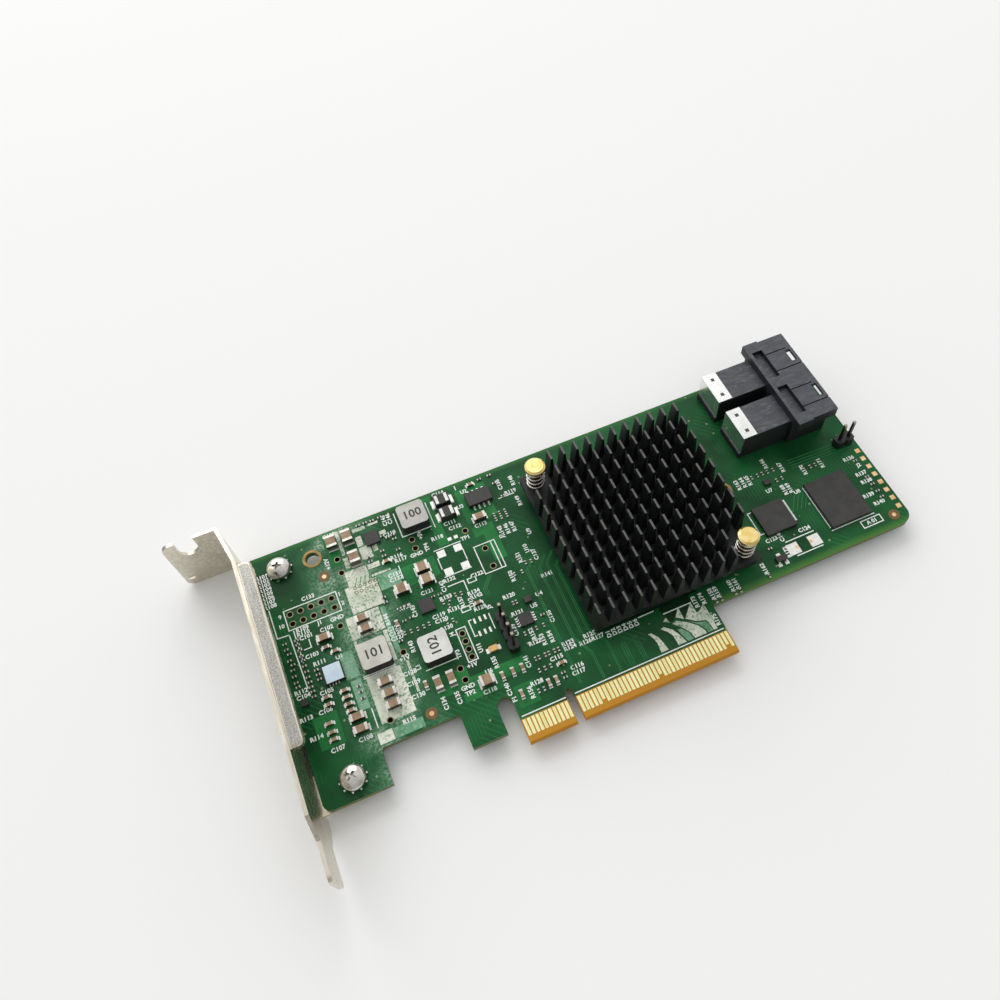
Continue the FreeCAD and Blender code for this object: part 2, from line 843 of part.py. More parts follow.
def push_pin_spring(label, across, up):
    # wire of diamond section laid round the pin in short straight steps
    steps_per_turn = 12
    steps = round(value("spring_turns") * steps_per_turn)
    radius = value("spring_radius")
    wire = value("wire_radius")
    bottom = value(SINK_SEAT) + wire
    rise = value("pin_above_base - pin_head_thick - 2 * wire_radius") / steps
    sections = []
    for step in range(steps + 1):
        turn = FreeCAD.Rotation(FreeCAD.Vector(0, 0, 1), 360 * step / steps_per_turn)
        level = bottom + rise * step
        profile = [(radius - wire, level), (radius, level - wire),
                   (radius + wire, level), (radius, level + wire)]
        corners = [turn.multVec(FreeCAD.Vector(reach, 0, height)) for reach, height in profile]
        sections.append(Part.makePolygon(corners + corners[:1]))
    coil = group(label, [Part.makeLoft(sections, True, True)])
    coil.Placement.Base = FreeCAD.Vector(value(across), value(up), 0)


def port_housing():
    body = new_body("double_port_housing")
    rear = along("housing_rear")
    front = f"{rear} + housing_length"
    lower_top = "housing_height - flange_thick"
    lower = sketch_on(body, "XY", 0)
    lower_front = f"{front} - lower_front_inset"
    add_loop(lower, rectangle(rear, "port_middle - lower_width / 2",
                              lower_front, "port_middle + lower_width / 2"))
    pad(body, lower, lower_top)
    flange = sketch_on(body, "XY", lower_top)
    step = f"{rear} + shoulder_length"
    wide_low = "port_middle - housing_width / 2"
    wide_high = "port_middle + housing_width / 2"
    add_loop(flange, [
        (rear, wide_low),
        (step, wide_low),
        (step, f"{wide_low} + flange_front_inset"),
        (front, f"{wide_low} + flange_front_inset"),
        (front, f"{wide_high} - flange_front_inset"),
        (step, f"{wide_high} - flange_front_inset"),
        (step, wide_high),
        (rear, wide_high),
    ])
    pad(body, flange, "flange_thick")

    for middle in PORTS.values():
        cavity = sketch_on(body, "YZ", front)
        add_loop(cavity, centred(middle, "cavity_low + cavity_height / 2",
                                 "cavity_width", "cavity_height"))
        pocket(body, cavity, "cavity_depth")
        mouth = sketch_on(body, "YZ", f"{front} - cavity_depth")
        add_loop(mouth, centred(middle, "nose_low + nose_height / 2",
                                "nose_width + 2 * nose_clearance",
                                "nose_height + 2 * nose_clearance"))
        pocket(body, mouth, "housing_length - cavity_depth")

        trough = sketch_on(body, "XY", "housing_height")
        trough_rear = f"{rear} + trough_rear_inset"
        trough_front = f"{trough_rear} + trough_length"
        add_loop(trough, rectangle(trough_rear, f"{middle} - trough_width / 2",
                                   trough_front, f"{middle} + trough_width / 2"))
        pocket(body, trough, "trough_depth")

        window_front = f"{front} - window_front_inset"
        lines = sketch_on(body, "XY", "housing_height")
        for side, line_front in ((-1, front), (1, f"{window_front} - window_length / 2")):
            line_middle = f"{middle} - latch_line + {side} * latch_width / 2"
            add_loop(lines, rectangle(trough_front, f"{line_middle} - latch_line / 2",
                                      line_front, f"{line_middle} + latch_line / 2"))
        pocket(body, lines, "latch_line_depth")

        cavity_top = "(cavity_low + cavity_height)"
        catch = sketch_on(body, "YZ", front)
        add_loop(catch, rectangle(f"{middle} - latch_width / 2 + latch_line", cavity_top,
                                  f"{middle} + latch_width / 2 - 2 * latch_line",
                                  "housing_height - latch_roof"))
        pocket(body, catch, "latch_depth")
        window = sketch_on(body, "XY", "housing_height")
        add_loop(window, rectangle(f"{window_front} - window_length",
                                   f"{middle} - window_width / 2",
                                   window_front, f"{middle} + window_width / 2"))
        pocket(body, window, "latch_roof")

    pegs = sketch_on(body, "XY", 0)
    for place in peg_places():
        add_circle(pegs, place, "peg_radius")
    pad(body, pegs, "peg_below", backward=True)


def wafer_block(label, middle):
    body = new_body(label)
    rear = along("wafer_rear")
    mating = along("housing_rear")
    side = sketch_on(body, "XZ", f"{middle} + wafer_width / 2")
    add_loop(side, [
        (f"{rear} - foot_length", 0),
        (mating, 0),
        (mating, "wafer_height"),
        (rear, "wafer_height"),
        (rear, "foot_height"),
        (f"{rear} - foot_length", "foot_height"),
    ])
    pad(body, side, "wafer_width")
    nose = sketch_on(body, "YZ", mating)
    nose_middle = "nose_low + nose_height / 2"
    add_loop(nose, centred(middle, nose_middle, "nose_width", "nose_height"))
    pad(body, nose, "nose_length")
    slots = sketch_on(body, "YZ", f"{mating} + nose_length")
    for side_sign in (-1, 1):
        level = f"{nose_middle} + {side_sign} * slot_spacing / 2"
        add_loop(slots, centred(middle, level, "slot_width", "slot_height"))
    pocket(body, slots, "slot_depth")
    pegs = sketch_on(body, "XY", "wafer_height")
    for side_sign in (-1, 1):
        up = f"{middle} + {side_sign} * clip_hole_spacing / 2"
        add_loop(pegs, centred(f"{rear} + clip_length / 2", up, "clip_peg", "clip_peg"))
    pad(body, pegs, "clip_thick")


def rear_clip(label, middle):
    body = new_body(label)
    rear = along("wafer_rear")
    side = sketch_on(body, "XZ", f"{middle} + wafer_width / 2")
    add_loop(side, [
        (rear, "foot_height"),
        (rear, "wafer_height"),
        (f"{rear} + clip_length", "wafer_height"),
        (f"{rear} + clip_length", "wafer_height + clip_thick"),
        (f"{rear} - clip_thick", "wafer_height + clip_thick"),
        (f"{rear} - clip_thick", "foot_height"),
    ])
    pad(body, side, "wafer_width")
    outer_bend = edges_at(body, 1, [(f"{rear} - clip_thick", "wafer_height + clip_thick")])
    round_edges(body, outer_bend, "clip_thick")
    holes = sketch_on(body, "XY", "wafer_height + clip_thick")
    for side_sign in (-1, 1):
        up = f"{middle} + {side_sign} * clip_hole_spacing / 2"
        add_loop(holes, centred(f"{rear} + clip_length / 2", up, "clip_hole", "clip_hole"))
    pocket(body, holes, "clip_thick")


def port_contacts():
    tip = value(along("housing_rear + nose_length"))
    width = value("blade_width")
    thick = value("blade_thick")
    length = value("blade_length")
    setback = value("blade_setback")
    slot_middle = value("nose_low + nose_height / 2")
    half_slot = value("slot_height / 2")
    count = int(value("blades_per_row"))
    solids = []
    for middle in PORTS.values():
        for side_sign in (-1, 1):
            level = slot_middle + side_sign * value("slot_spacing / 2")
            for bottom in (level - half_slot, level + half_slot - thick):
                for number in range(count):
                    up = value(middle) + (number - (count - 1) / 2) * value("blade_pitch")
                    solids.append(box(tip - length - setback, up - width / 2, bottom,
                                      length, width, thick))
    group("port_contacts", solids)


def pin_header(label, across, up, count, runs_up):
    # moulded base with a bevelled corner at every pin position
    body = new_body(f"{label}_base")
    half = "header_base / 2"
    near = "header_base / 2 - header_chamfer"
    rising = []
    falling = []
    for number in range(count):
        centre = f"{number - (count - 1) / 2} * header_pitch"
        rising += [(half, f"{centre} - ({near})"), (half, f"{centre} + {near}")]
        if number < count - 1:
            rising.append((near, f"{centre} + header_pitch / 2"))
        falling += [(f"-{half}", f"{centre} - ({near})"), (f"-{half}", f"{centre} + {near}")]
        if number < count - 1:
            falling.append((f"-({near})", f"{centre} + header_pitch / 2"))
    first = f"{-(count - 1) / 2} * header_pitch - {half}"
    last = f"{(count - 1) / 2} * header_pitch + {half}"
    loop = [(f"-({near})", first), (near, first)] + rising
    loop += [(near, last), (f"-({near})", last)] + falling[::-1]
    sketch = sketch_on(body, "XY", 0)
    if not runs_up:
        loop = [(up_place, across_place) for across_place, up_place in reversed(loop)]
    add_loop(sketch, loop)
    pad(body, sketch, "header_base")
    bores = sketch_on(body, "XY", "header_base")
    width = value("header_pin")
    below = value("header_pin_below")
    tall = value("header_pin_top") + below
    solids = []
    for number in range(count):
        step = f"{number - (count - 1) / 2} * header_pitch"
        place = (0, step) if runs_up else (step, 0)
        add_loop(bores, centred(*place, "header_pin", "header_pin"))
        left = value(f"{across} + {place[0]}") - width / 2
        low = value(f"{up} + {place[1]}") - width / 2
        solids.append(box(left, low, -below, width, width, tall))
    pocket(body, bores, "header_base")
    place_body(body, across, up)
    group(f"{label}_pins", solids)


def power_inductor(label, key):
    body = new_body(label)
    sketch = sketch_on(body, "XY", 0)
    add_loop(sketch, centred(0, 0, "coil_length", "coil_width"))
    pad(body, sketch, "coil_height")
    corners = [(f"{x} * coil_length / 2", f"{y} * coil_width / 2") for x in (-1, 1) for y in (-1, 1)]
    round_edges(body, edges_at(body, 2, corners), "coil_round")
    place_body(body, along(f"{key}_along"), f"{key}_up")


def chip(label, key, size):
    body = new_body(label)
    sketch = sketch_on(body, "XY", 0)
    add_loop(sketch, centred(0, 0, f"{size}_length", f"{size}_width"))
    pad(body, sketch, f"{size}_height")
    place_body(body, along(f"{key}_along"), f"{key}_up")


def bent_feet(key, size, rows, pitch, width, reach):
    # feet that leave a package's sides and turn outward on the board; rows are (turn, count)
    thick = value("foot_thick")
    rise = value("foot_rise")
    wide = value(width)
    out = value(reach)
    outline = [(0, 0), (out, 0), (out, thick), (thick, thick), (thick, rise), (0, rise), (0, 0)]
    profile = Part.makePolygon([FreeCAD.Vector(x, 0, z) for x, z in outline])
    foot = Part.Face(profile).extrude(FreeCAD.Vector(0, wide, 0))
    centre = FreeCAD.Vector(value(along(f"{key}_along")), value(f"{key}_up"), 0)
    solids = []
    for turn, count in rows:
        side = value(f"{size}_length") if turn in (0, 180) else value(f"{size}_width")
        spin = FreeCAD.Placement(centre, FreeCAD.Rotation(FreeCAD.Vector(0, 0, 1), turn))
        for number in range(count):
            shift = (number - (count - 1) / 2) * value(pitch) - wide / 2
            copy = foot.copy()
            copy.Placement = spin.multiply(FreeCAD.Placement(
                FreeCAD.Vector(side / 2, shift, 0), FreeCAD.Rotation()))
            solids.append(copy)
    return solids


def chip_capacitors(size, along_x, along_y):
    # ceramic bodies, and the metal cap on each end with the body let into it
    length = value(f"{size}_length")
    width = value(f"{size}_width")
    height = value(f"{size}_height")
    cap = length * value("end_share")
    lap = value("end_lap")
    bodies = []
    ends = []
    for places, runs_across in ((along_x, True), (along_y, False)):
        for along_place, up in places:
            middle = FreeCAD.Vector(value(along(along_place)), up, 0)
            turn = FreeCAD.Rotation(FreeCAD.Vector(0, 0, 1), 0 if runs_across else 90)
            seat = FreeCAD.Placement(middle, turn)
            ceramic = box(cap - length / 2, lap - width / 2, lap,
                          length - 2 * cap, width - 2 * lap, height - 2 * lap)
            ceramic.Placement = seat.multiply(ceramic.Placement)
            bodies.append(ceramic)
            for left in (-length / 2, length / 2 - cap):
                end = box(left, -width / 2, 0, cap, width, height)
                end.Placement = seat.multiply(end.Placement)
                ends.append(end)
    group(f"{size}_capacitor_bodies", bodies)
    group(f"{size}_capacitor_ends", ends)


def write_parts():
    doc.recompute()
    for item in doc.Objects:
        if "Invalid" in item.State or "Error" in item.State:
            raise RuntimeError(f"{item.Name} failed: {item.State}")
    for piece in pieces:
        if piece.Shape.isNull() or not piece.Shape.isValid():
            raise RuntimeError(f"{piece.Label} has no valid shape")
    os.makedirs("parts", exist_ok=True)
    for piece in pieces:
        piece.Shape.exportStep(f"parts/{piece.Label}.step")


fill_sheet()

# Levels and places shared by several pieces.
SINK_LOW = "(chip_thick + lid_thick + pad_thick)"
SINK_SEAT = "(chip_thick + lid_thick + pad_thick + base_thick)"
SINK_WIDTH = "(2 * fin_inset + fin_root + (fin_columns - 1) * fin_pitch)"
SINK_DEPTH = "(fin_length + (fin_rows - 1) * row_pitch)"
SCREWS = {
    "upper": (along("upper_screw_along"), "upper_screw_up"),
    "lower": (along("lower_screw_along"), "lower_screw_up"),
}
PUSH_PINS = {
    "rear": (along("sink_left + pin_inset"), f"sink_front + {SINK_DEPTH} - pin_inset"),
    "front": (along(f"sink_left + {SINK_WIDTH} - pin_inset"), "sink_front + pin_inset"),
}
PORTS = {
    "upper": "port_middle + port_pitch / 2",
    "lower": "port_middle - port_pitch / 2",
}

circuit_board()
edge_contacts("edge_contacts_component_side", 0.0)
edge_contacts("edge_contacts_rear_side", -value("board_thick + contact_thick"))
bracket()
for end, (screw_across, screw_up) in SCREWS.items():
    bracket_screw(f"{end}_bracket_screw", screw_across, screw_up)
    lock_washer(f"{end}_lock_washer", screw_across, screw_up)
controller()
heat_sink()
for end, (pin_across, pin_up) in PUSH_PINS.items():
    push_pin(f"{end}_push_pin", pin_across, pin_up)
    push_pin_spring(f"{end}_push_pin_spring", pin_across, pin_up)
port_housing()
for end, port_middle_up in PORTS.items():
    wafer_block(f"{end}_contact_wafer_block", port_middle_up)
    rear_clip(f"{end}_wafer_clip", port_middle_up)
port_contacts()
pin_header("four_pin_header", along("four_pin_along"), "four_pin_up", 4, True)
pin_header("two_pin_header", along("board_length - two_pin_from_end"), "two_pin_up", 2, False)
power_inductor("upper_power_inductor", "upper_coil")
power_inductor("left_power_inductor", "left_coil")
power_inductor("right_power_inductor", "right_coil")
chip("memory_chip", "memory", "memory")
chip("logic_chip", "logic", "logic")
chip("power_stage_chip", "stage", "stage")
chip("upper_regulator_chip", "upper_regulator", "regulator")
chip("lower_regulator_chip", "lower_regulator", "regulator")
chip("eight_lead_chip", "eight_lead", "eight_lead")
chip("sensor_chip", "sensor", "sensor")
chip("upper_rectifier", "upper_rectifier", "rectifier")
chip("lower_rectifier", "lower_rectifier", "rectifier")
chip("transistor", "transistor", "transistor")
chip("middle_small_chip", "middle_small", "small_chip")
chip("right_small_chip", "right_small", "small_chip")
chip("left_small_chip", "left_small", "small_chip")
chip("amber_indicator", "indicator", "indicator")
group("eight_lead_chip_feet", bent_feet(
    "eight_lead", "eight_lead", [(90, 4), (270, 4)],
    "wide_foot_pitch", "wide_foot_width", "wide_foot_reach"))
group("sensor_chip_feet", bent_feet(
    "sensor", "sensor", [(0, 4), (180, 4)],
    "fine_foot_pitch", "fine_foot_width", "fine_foot_reach"))
group("transistor_feet", bent_feet(
    "transistor", "transistor", [(90, 1), (270, 2)],
    "transistor_foot_pitch", "wide_foot_width", "transistor_foot_reach"))
terminals = []
for rectifier in ("upper_rectifier", "lower_rectifier"):
    terminals += bent_feet(rectifier, "rectifier", [(0, 1), (180, 1)],
                           "wide_foot_pitch", "terminal_width", "terminal_reach")
group("rectifier_terminals", terminals)
chip_capacitors("large", LARGE_ALONG_X, LARGE_ALONG_Y)
chip_capacitors("medium", MEDIUM_ALONG_X, MEDIUM_ALONG_Y)
chip_capacitors("small", SMALL_ALONG_X, SMALL_ALONG_Y)
write_parts()
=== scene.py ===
import bpy
import json
import math
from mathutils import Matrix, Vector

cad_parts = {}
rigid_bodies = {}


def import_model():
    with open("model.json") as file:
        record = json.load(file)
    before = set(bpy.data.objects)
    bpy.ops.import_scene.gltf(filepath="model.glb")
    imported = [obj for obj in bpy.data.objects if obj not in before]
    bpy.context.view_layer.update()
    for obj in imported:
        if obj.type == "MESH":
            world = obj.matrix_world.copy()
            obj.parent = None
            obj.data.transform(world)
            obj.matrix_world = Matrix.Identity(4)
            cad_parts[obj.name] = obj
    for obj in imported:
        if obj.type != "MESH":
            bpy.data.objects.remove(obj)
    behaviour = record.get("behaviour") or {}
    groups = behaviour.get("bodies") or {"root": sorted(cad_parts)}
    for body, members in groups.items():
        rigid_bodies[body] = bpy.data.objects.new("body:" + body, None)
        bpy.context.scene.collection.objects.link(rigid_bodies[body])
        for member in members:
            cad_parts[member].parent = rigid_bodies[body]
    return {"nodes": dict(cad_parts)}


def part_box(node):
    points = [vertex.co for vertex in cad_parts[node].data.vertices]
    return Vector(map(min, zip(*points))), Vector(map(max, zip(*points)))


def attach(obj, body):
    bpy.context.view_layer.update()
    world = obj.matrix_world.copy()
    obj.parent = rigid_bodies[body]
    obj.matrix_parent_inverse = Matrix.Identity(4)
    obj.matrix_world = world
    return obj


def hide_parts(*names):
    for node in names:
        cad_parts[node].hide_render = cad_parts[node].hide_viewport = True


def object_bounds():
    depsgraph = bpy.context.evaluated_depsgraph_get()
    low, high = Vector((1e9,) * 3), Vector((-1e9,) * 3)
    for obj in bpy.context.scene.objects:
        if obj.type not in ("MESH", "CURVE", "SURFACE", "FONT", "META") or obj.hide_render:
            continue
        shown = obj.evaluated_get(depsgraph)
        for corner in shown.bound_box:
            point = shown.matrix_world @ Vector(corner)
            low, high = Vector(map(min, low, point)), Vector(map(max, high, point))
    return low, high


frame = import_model()
cad_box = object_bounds()


# Table, light and camera. The card lies flat on a white table under one broad soft light that
# stands behind it. The room is pale behind the card and darker in front of it.
scene = bpy.context.scene
scene.view_settings.view_transform = "Standard"
table_drop = 0.00005

bpy.ops.object.select_all(action="DESELECT")
bpy.ops.mesh.primitive_plane_add(size=4, location=(0, 0, cad_box[0][2] - table_drop))
table = bpy.context.object
table.name = "white_table"
table_white = bpy.data.materials.new("table_white")
table_white.use_nodes = True
table_shader = table_white.node_tree.nodes["Principled BSDF"]
table_shader.inputs["Base Color"].default_value = (0.90, 0.90, 0.893, 1)
table_shader.inputs["Roughness"].default_value = 0.6
table_shader.inputs["Specular IOR Level"].default_value = 0.05
table.data.materials.append(table_white)

room = bpy.data.worlds.new("soft_room")
scene.world = room
room.use_nodes = True
room_tree = room.node_tree
room_light = room_tree.nodes["Background"]
room_light.inputs["Color"].default_value = (1, 1, 1, 1)
room_way = room_tree.nodes.new("ShaderNodeTexCoord")
room_depth = room_tree.nodes.new("ShaderNodeSeparateXYZ")
room_fade = room_tree.nodes.new("ShaderNodeMapRange")
room_fade.inputs["From Min"].default_value = -0.7
room_fade.inputs["From Max"].default_value = 0.5
room_fade.inputs["To Min"].default_value = 0.46
room_fade.inputs["To Max"].default_value = 1.0
room_tree.links.new(room_way.outputs["Generated"], room_depth.inputs["Vector"])
room_tree.links.new(room_depth.outputs["Y"], room_fade.inputs["Value"])
room_tree.links.new(room_fade.outputs[0], room_light.inputs["Strength"])

lamp_place = (0.0, 2.10, 1.30)
lamp_aim = (0.0, 0.03, 0.0)
bpy.ops.object.light_add(type="AREA", location=lamp_place)
lamp = bpy.context.object
lamp.name = "soft_light"
lamp.data.shape = "RECTANGLE"
lamp.data.size = 2.4
lamp.data.size_y = 2.0
lamp.data.energy = 32.0
towards = [aim - place for aim, place in zip(lamp_aim, lamp_place)]
flat_reach = math.hypot(towards[0], towards[1])
lamp.rotation_euler = (math.atan2(flat_reach, -towards[2]), 0, math.atan2(-towards[0], towards[1]))

camera_turn = (29.9125, 1.7272, -23.6734)
bpy.ops.object.camera_add(location=(-0.025115, -0.049831, 0.186441))
camera = bpy.context.object
camera.name = "photo_camera"
camera.rotation_euler = [math.radians(angle) for angle in camera_turn]
camera.data.sensor_width = 36
camera.data.lens = 31.29
camera.data.shift_x = -0.0428
camera.data.shift_y = 0.0162
camera.data.clip_start = 0.005
scene.camera = camera


# Circuit board: glass-fibre laminate under a glossy green solder mask, with the copper showing
# through it as slightly paler lines and dots. The cut edge of the board shows the bare laminate.
MM = 0.001
KEY_PLACE = 57.15


def spot(along, up, height=0.0):
    # a place on the card in metres, from millimetres along the board and up it
    return ((along - KEY_PLACE) * MM, up * MM, height * MM)


def knit(tree, kind, sockets, **settings):
    # adds one shader node; a socket gets a link from another node or a plain value
    item = tree.nodes.new(kind)
    for name, setting in settings.items():
        setattr(item, name, setting)
    for name, source in sockets.items():
        if isinstance(source, bpy.types.NodeSocket):
            tree.links.new(source, item.inputs[name])
        else:
            item.inputs[name].default_value = source
    return item


def own_place(tree):
    return knit(tree, "ShaderNodeTexCoord", {}).outputs["Object"]


def cloud(tree, scale, detail=3.0, place=None):
    where = place or own_place(tree)
    sockets = {"Vector": where, "Scale": scale, "Detail": detail}
    return knit(tree, "ShaderNodeTexNoise", sockets).outputs["Fac"]


def ramp(tree, source, start, end, low=0.0, high=1.0):
    sockets = {"Value": source, "From Min": start, "From Max": end, "To Min": low, "To Max": high}
    return knit(tree, "ShaderNodeMapRange", sockets).outputs[0]


def both(tree, first, second):
    return knit(tree, "ShaderNodeMath", {0: first, 1: second}, operation="MULTIPLY").outputs[0]


def blend_colour(tree, share, first, second):
    colours = [(*tone, 1) if isinstance(tone, tuple) else tone for tone in (first, second)]
    sockets = {0: share, 6: colours[0], 7: colours[1]}
    return knit(tree, "ShaderNodeMix", sockets, data_type="RGBA").outputs[2]


def finish(name, metallic=0.0, specular=0.5):
    material = bpy.data.materials.new(name)
    material.use_nodes = True
    tree = material.node_tree
    shader = tree.nodes["Principled BSDF"]
    shader.inputs["Metallic"].default_value = metallic
    shader.inputs["Specular IOR Level"].default_value = specular
    return material, tree, shader


def roughen(tree, shader, source, low, high):
    tree.links.new(ramp(tree, source, 0.3, 0.7, low, high), shader.inputs["Roughness"])


def relief(tree, shader, source, depth, strength=0.5):
    sockets = {"Height": source, "Distance": depth, "Strength": strength}
    tree.links.new(knit(tree, "ShaderNodeBump", sockets).outputs[0], shader.inputs["Normal"])


def surface(name, dark, light, patch, rough, grain, depth, metallic=0.0, specular=0.5):
    # a finish whose colour drifts between two tones, with a fine grain in gloss and relief
    material, tree, shader = finish(name, metallic, specular)
    tone = blend_colour(tree, ramp(tree, cloud(tree, patch), 0.35, 0.65), dark, light)
    tree.links.new(tone, shader.inputs["Base Color"])
    fine = cloud(tree, grain)
    roughen(tree, shader, fine, *rough)
    relief(tree, shader, fine, depth)
    return material, tree, shader, tone


def dress(material, *names):
    for name in names:
        covered = frame["nodes"][name]
        covered.data.materials.clear()
        covered.data.materials.append(material)


def facing(tree, axis):
    normal = knit(tree, "ShaderNodeNewGeometry", {}).outputs["Normal"]
    return knit(tree, "ShaderNodeSeparateXYZ", {"Vector": normal}).outputs[axis]


def place_on(tree, axis):
    return knit(tree, "ShaderNodeSeparateXYZ", {"Vector": own_place(tree)}).outputs[axis]


def distance_from(tree, axis, middle):
    shifted = knit(tree, "ShaderNodeMath", {0: place_on(tree, axis), 1: middle}, operation="SUBTRACT")
    return knit(tree, "ShaderNodeMath", {0: shifted.outputs[0]}, operation="ABSOLUTE").outputs[0]


mask_specular = 0.16
mask_green, tree, shader = finish("mask_green", specular=mask_specular)
mask_tone = blend_colour(tree, ramp(tree, cloud(tree, 70.0, 5.0), 0.36, 0.62),
                         (0.005, 0.052, 0.015), (0.011, 0.112, 0.030))
for direction, patch in (("X", 75.0), ("DIAGONAL", 55.0)):
    bands = knit(tree, "ShaderNodeTexWave",
                 {"Vector": own_place(tree), "Scale": 380.0, "Distortion": 0.0},
                 bands_direction=direction).outputs["Fac"]
    lines = ramp(tree, bands, 0.84, 0.95)
    there = ramp(tree, cloud(tree, patch, 1.0), 0.57, 0.60, 0.0, 0.55)
    mask_tone = blend_colour(tree, both(tree, lines, there), mask_tone, (0.022, 0.175, 0.055))
via_gap = knit(tree, "ShaderNodeTexVoronoi",
               {"Vector": own_place(tree), "Scale": 430.0, "Randomness": 0.9}).outputs["Distance"]
via_dots = both(tree, ramp(tree, via_gap, 0.14, 0.10), ramp(tree, cloud(tree, 90.0, 1.0), 0.46, 0.50))
mask_tone = blend_colour(tree, via_dots, mask_tone, (0.26, 0.33, 0.17))

# painted reflection: a pale glare of the light is painted onto the mask near the bracket, with a fine grain
# in it
glare_middle = (20.5 - KEY_PLACE) * MM
glare_reach = ramp(tree, distance_from(tree, "X", glare_middle), 0.0120, 0.0040)
glare_patch = both(tree, glare_reach, ramp(tree, cloud(tree, 120.0, 4.0), 0.34, 0.62))
mask_tone = blend_colour(tree, ramp(tree, glare_patch, 0, 1, 0, 0.8), mask_tone, (0.085, 0.270, 0.140))
glare_patch_grain = both(tree, both(tree, glare_patch, glare_patch), ramp(tree, cloud(tree, 1600.0, 3.0), 0.46, 0.56))
mask_tone = blend_colour(tree, ramp(tree, glare_patch_grain, 0, 1, 0, 0.8), mask_tone, (0.52, 0.56, 0.44))

# painted reflection: the mask is drawn a paler green along the lower and upper margins
lower_margin_sheen = both(tree, ramp(tree, place_on(tree, "Y"), 0.0142, 0.0124),
                    ramp(tree, place_on(tree, "X"), 0.0390, 0.0405))
upper_margin_sheen = ramp(tree, place_on(tree, "Y"), 0.0674, 0.0686, 0.0, 0.6)
mask_tone = blend_colour(tree, lower_margin_sheen, mask_tone, (0.060, 0.190, 0.030))
mask_tone = blend_colour(tree, upper_margin_sheen, mask_tone, (0.040, 0.180, 0.035))

# bare laminate on the contact tab and on every cut edge
tab_foot = both(tree, ramp(tree, place_on(tree, "Y"), 0.0058, 0.0056),
                ramp(tree, place_on(tree, "X"), -0.0126, -0.0124))
mask_tone = blend_colour(tree, tab_foot, mask_tone, (0.52, 0.235, 0.022))
upward = knit(tree, "ShaderNodeMath", {0: facing(tree, "Z")}, operation="ABSOLUTE").outputs[0]
edge_tone = blend_colour(tree, tab_foot, (0.105, 0.150, 0.028), (0.46, 0.19, 0.015))
mask_tone = blend_colour(tree, ramp(tree, upward, 0.4, 0.6), edge_tone, mask_tone)
tree.links.new(mask_tone, shader.inputs["Base Color"])
roughen(tree, shader, cloud(tree, 300.0), 0.26, 0.40)
relief(tree, shader, cloud(tree, 900.0), 0.00002, 0.4)
dress(mask_green, "circuit_board")


# Copper pours and tracks: flat copper under the same mask, so they stand a few hundredths of a
# millimetre proud and look a brighter green. The cream plates by the bracket are a painted glare of the
# light, and the fan of pours by the contacts is drawn pale too. The tracks run between the edge and
# the chips, and the mask is darkest over the gaps that have no copper, with a strip of painted shadow
# where the heat sink overhangs the board.
pour_rise = 0.02
track_rise = 0.03
track_width = 0.17
track_gap = 0.42
step_up = 0.002


def open_mesh(name):
    bpy.ops.object.select_all(action="DESELECT")
    bpy.ops.mesh.primitive_plane_add(size=MM, enter_editmode=True, location=(0, 0, 0))
    bpy.ops.mesh.delete(type="VERT")
    piece = bpy.context.object
    piece.name = name
    return piece


def add_plate(left, low, right, high, level=0.0):
    middle = spot((left + right) / 2, (low + high) / 2, level)
    bpy.ops.mesh.primitive_plane_add(size=MM, location=middle)
    bpy.ops.transform.resize(value=(right - left, high - low, 1), center_override=middle)


def add_stroke(start_along, start_up, end_along, end_up, width, level=0.0):
    run = end_along - start_along
    climb = end_up - start_up
    middle = spot(start_along + run / 2, start_up + climb / 2, level)
    bpy.ops.mesh.primitive_plane_add(size=MM, location=middle)
    bpy.ops.transform.resize(value=(math.hypot(run, climb) + width, width, 1), center_override=middle)
    bpy.ops.transform.rotate(value=-math.atan2(climb, run), orient_axis="Z", center_override=middle)


def add_outline(corners):
    # a flat face drawn corner by corner and then filled
    bpy.ops.mesh.primitive_plane_add(size=MM, location=spot(*corners[0]))
    bpy.ops.mesh.merge(type="CENTER")
    for (from_along, from_up), (to_along, to_up) in zip(corners, corners[1:]):
        step = ((to_along - from_along) * MM, (to_up - from_up) * MM, 0)
        bpy.ops.mesh.extrude_region_move(TRANSFORM_OT_translate={"value": step})
    bpy.ops.mesh.select_linked()
    bpy.ops.mesh.edge_face_add()


def face_outward():
    # ends edit mode with every face turned outward
    bpy.ops.mesh.select_all(action="SELECT")
    bpy.ops.mesh.normals_make_consistent(inside=False)
    bpy.ops.object.mode_set(mode="OBJECT")


def close_mesh(piece, rise, material):
    bpy.ops.mesh.select_all(action="SELECT")
    bpy.ops.mesh.extrude_region_move(TRANSFORM_OT_translate={"value": (0, 0, rise * MM)})
    face_outward()
    settle(piece, material)


def settle(piece, material):
    piece.data.materials.clear()
    piece.data.materials.append(material)
    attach(piece, "root")


pour_green = surface(
    "pour_green", (0.013, 0.140, 0.034), (0.022, 0.215, 0.052), 140.0, (0.24, 0.36), 700.0, 0.00002,
    specular=mask_specular)[0]
pours = [
    (52.3, 56.2, 60.2, 66.4), (52.6, 52.0, 57.9, 54.8), (54.7, 44.2, 57.9, 52.0), (33.2, 46.3, 41.4, 51.8),
    (35.6, 14.1, 45.0, 16.0), (38.4, 16.0, 51.2, 19.4), (46.2, 8.0, 51.0, 13.2), (30.2, 17.2, 38.4, 22.2),
    (3.1, 16.8, 8.6, 24.6), (17.8, 58.6, 20.9, 68.3), (43.6, 53.2, 46.2, 68.0),
]
copper_pours = open_mesh("copper_pours")
for pour in pours:
    add_plate(*pour)
close_mesh(copper_pours, pour_rise, pour_green)
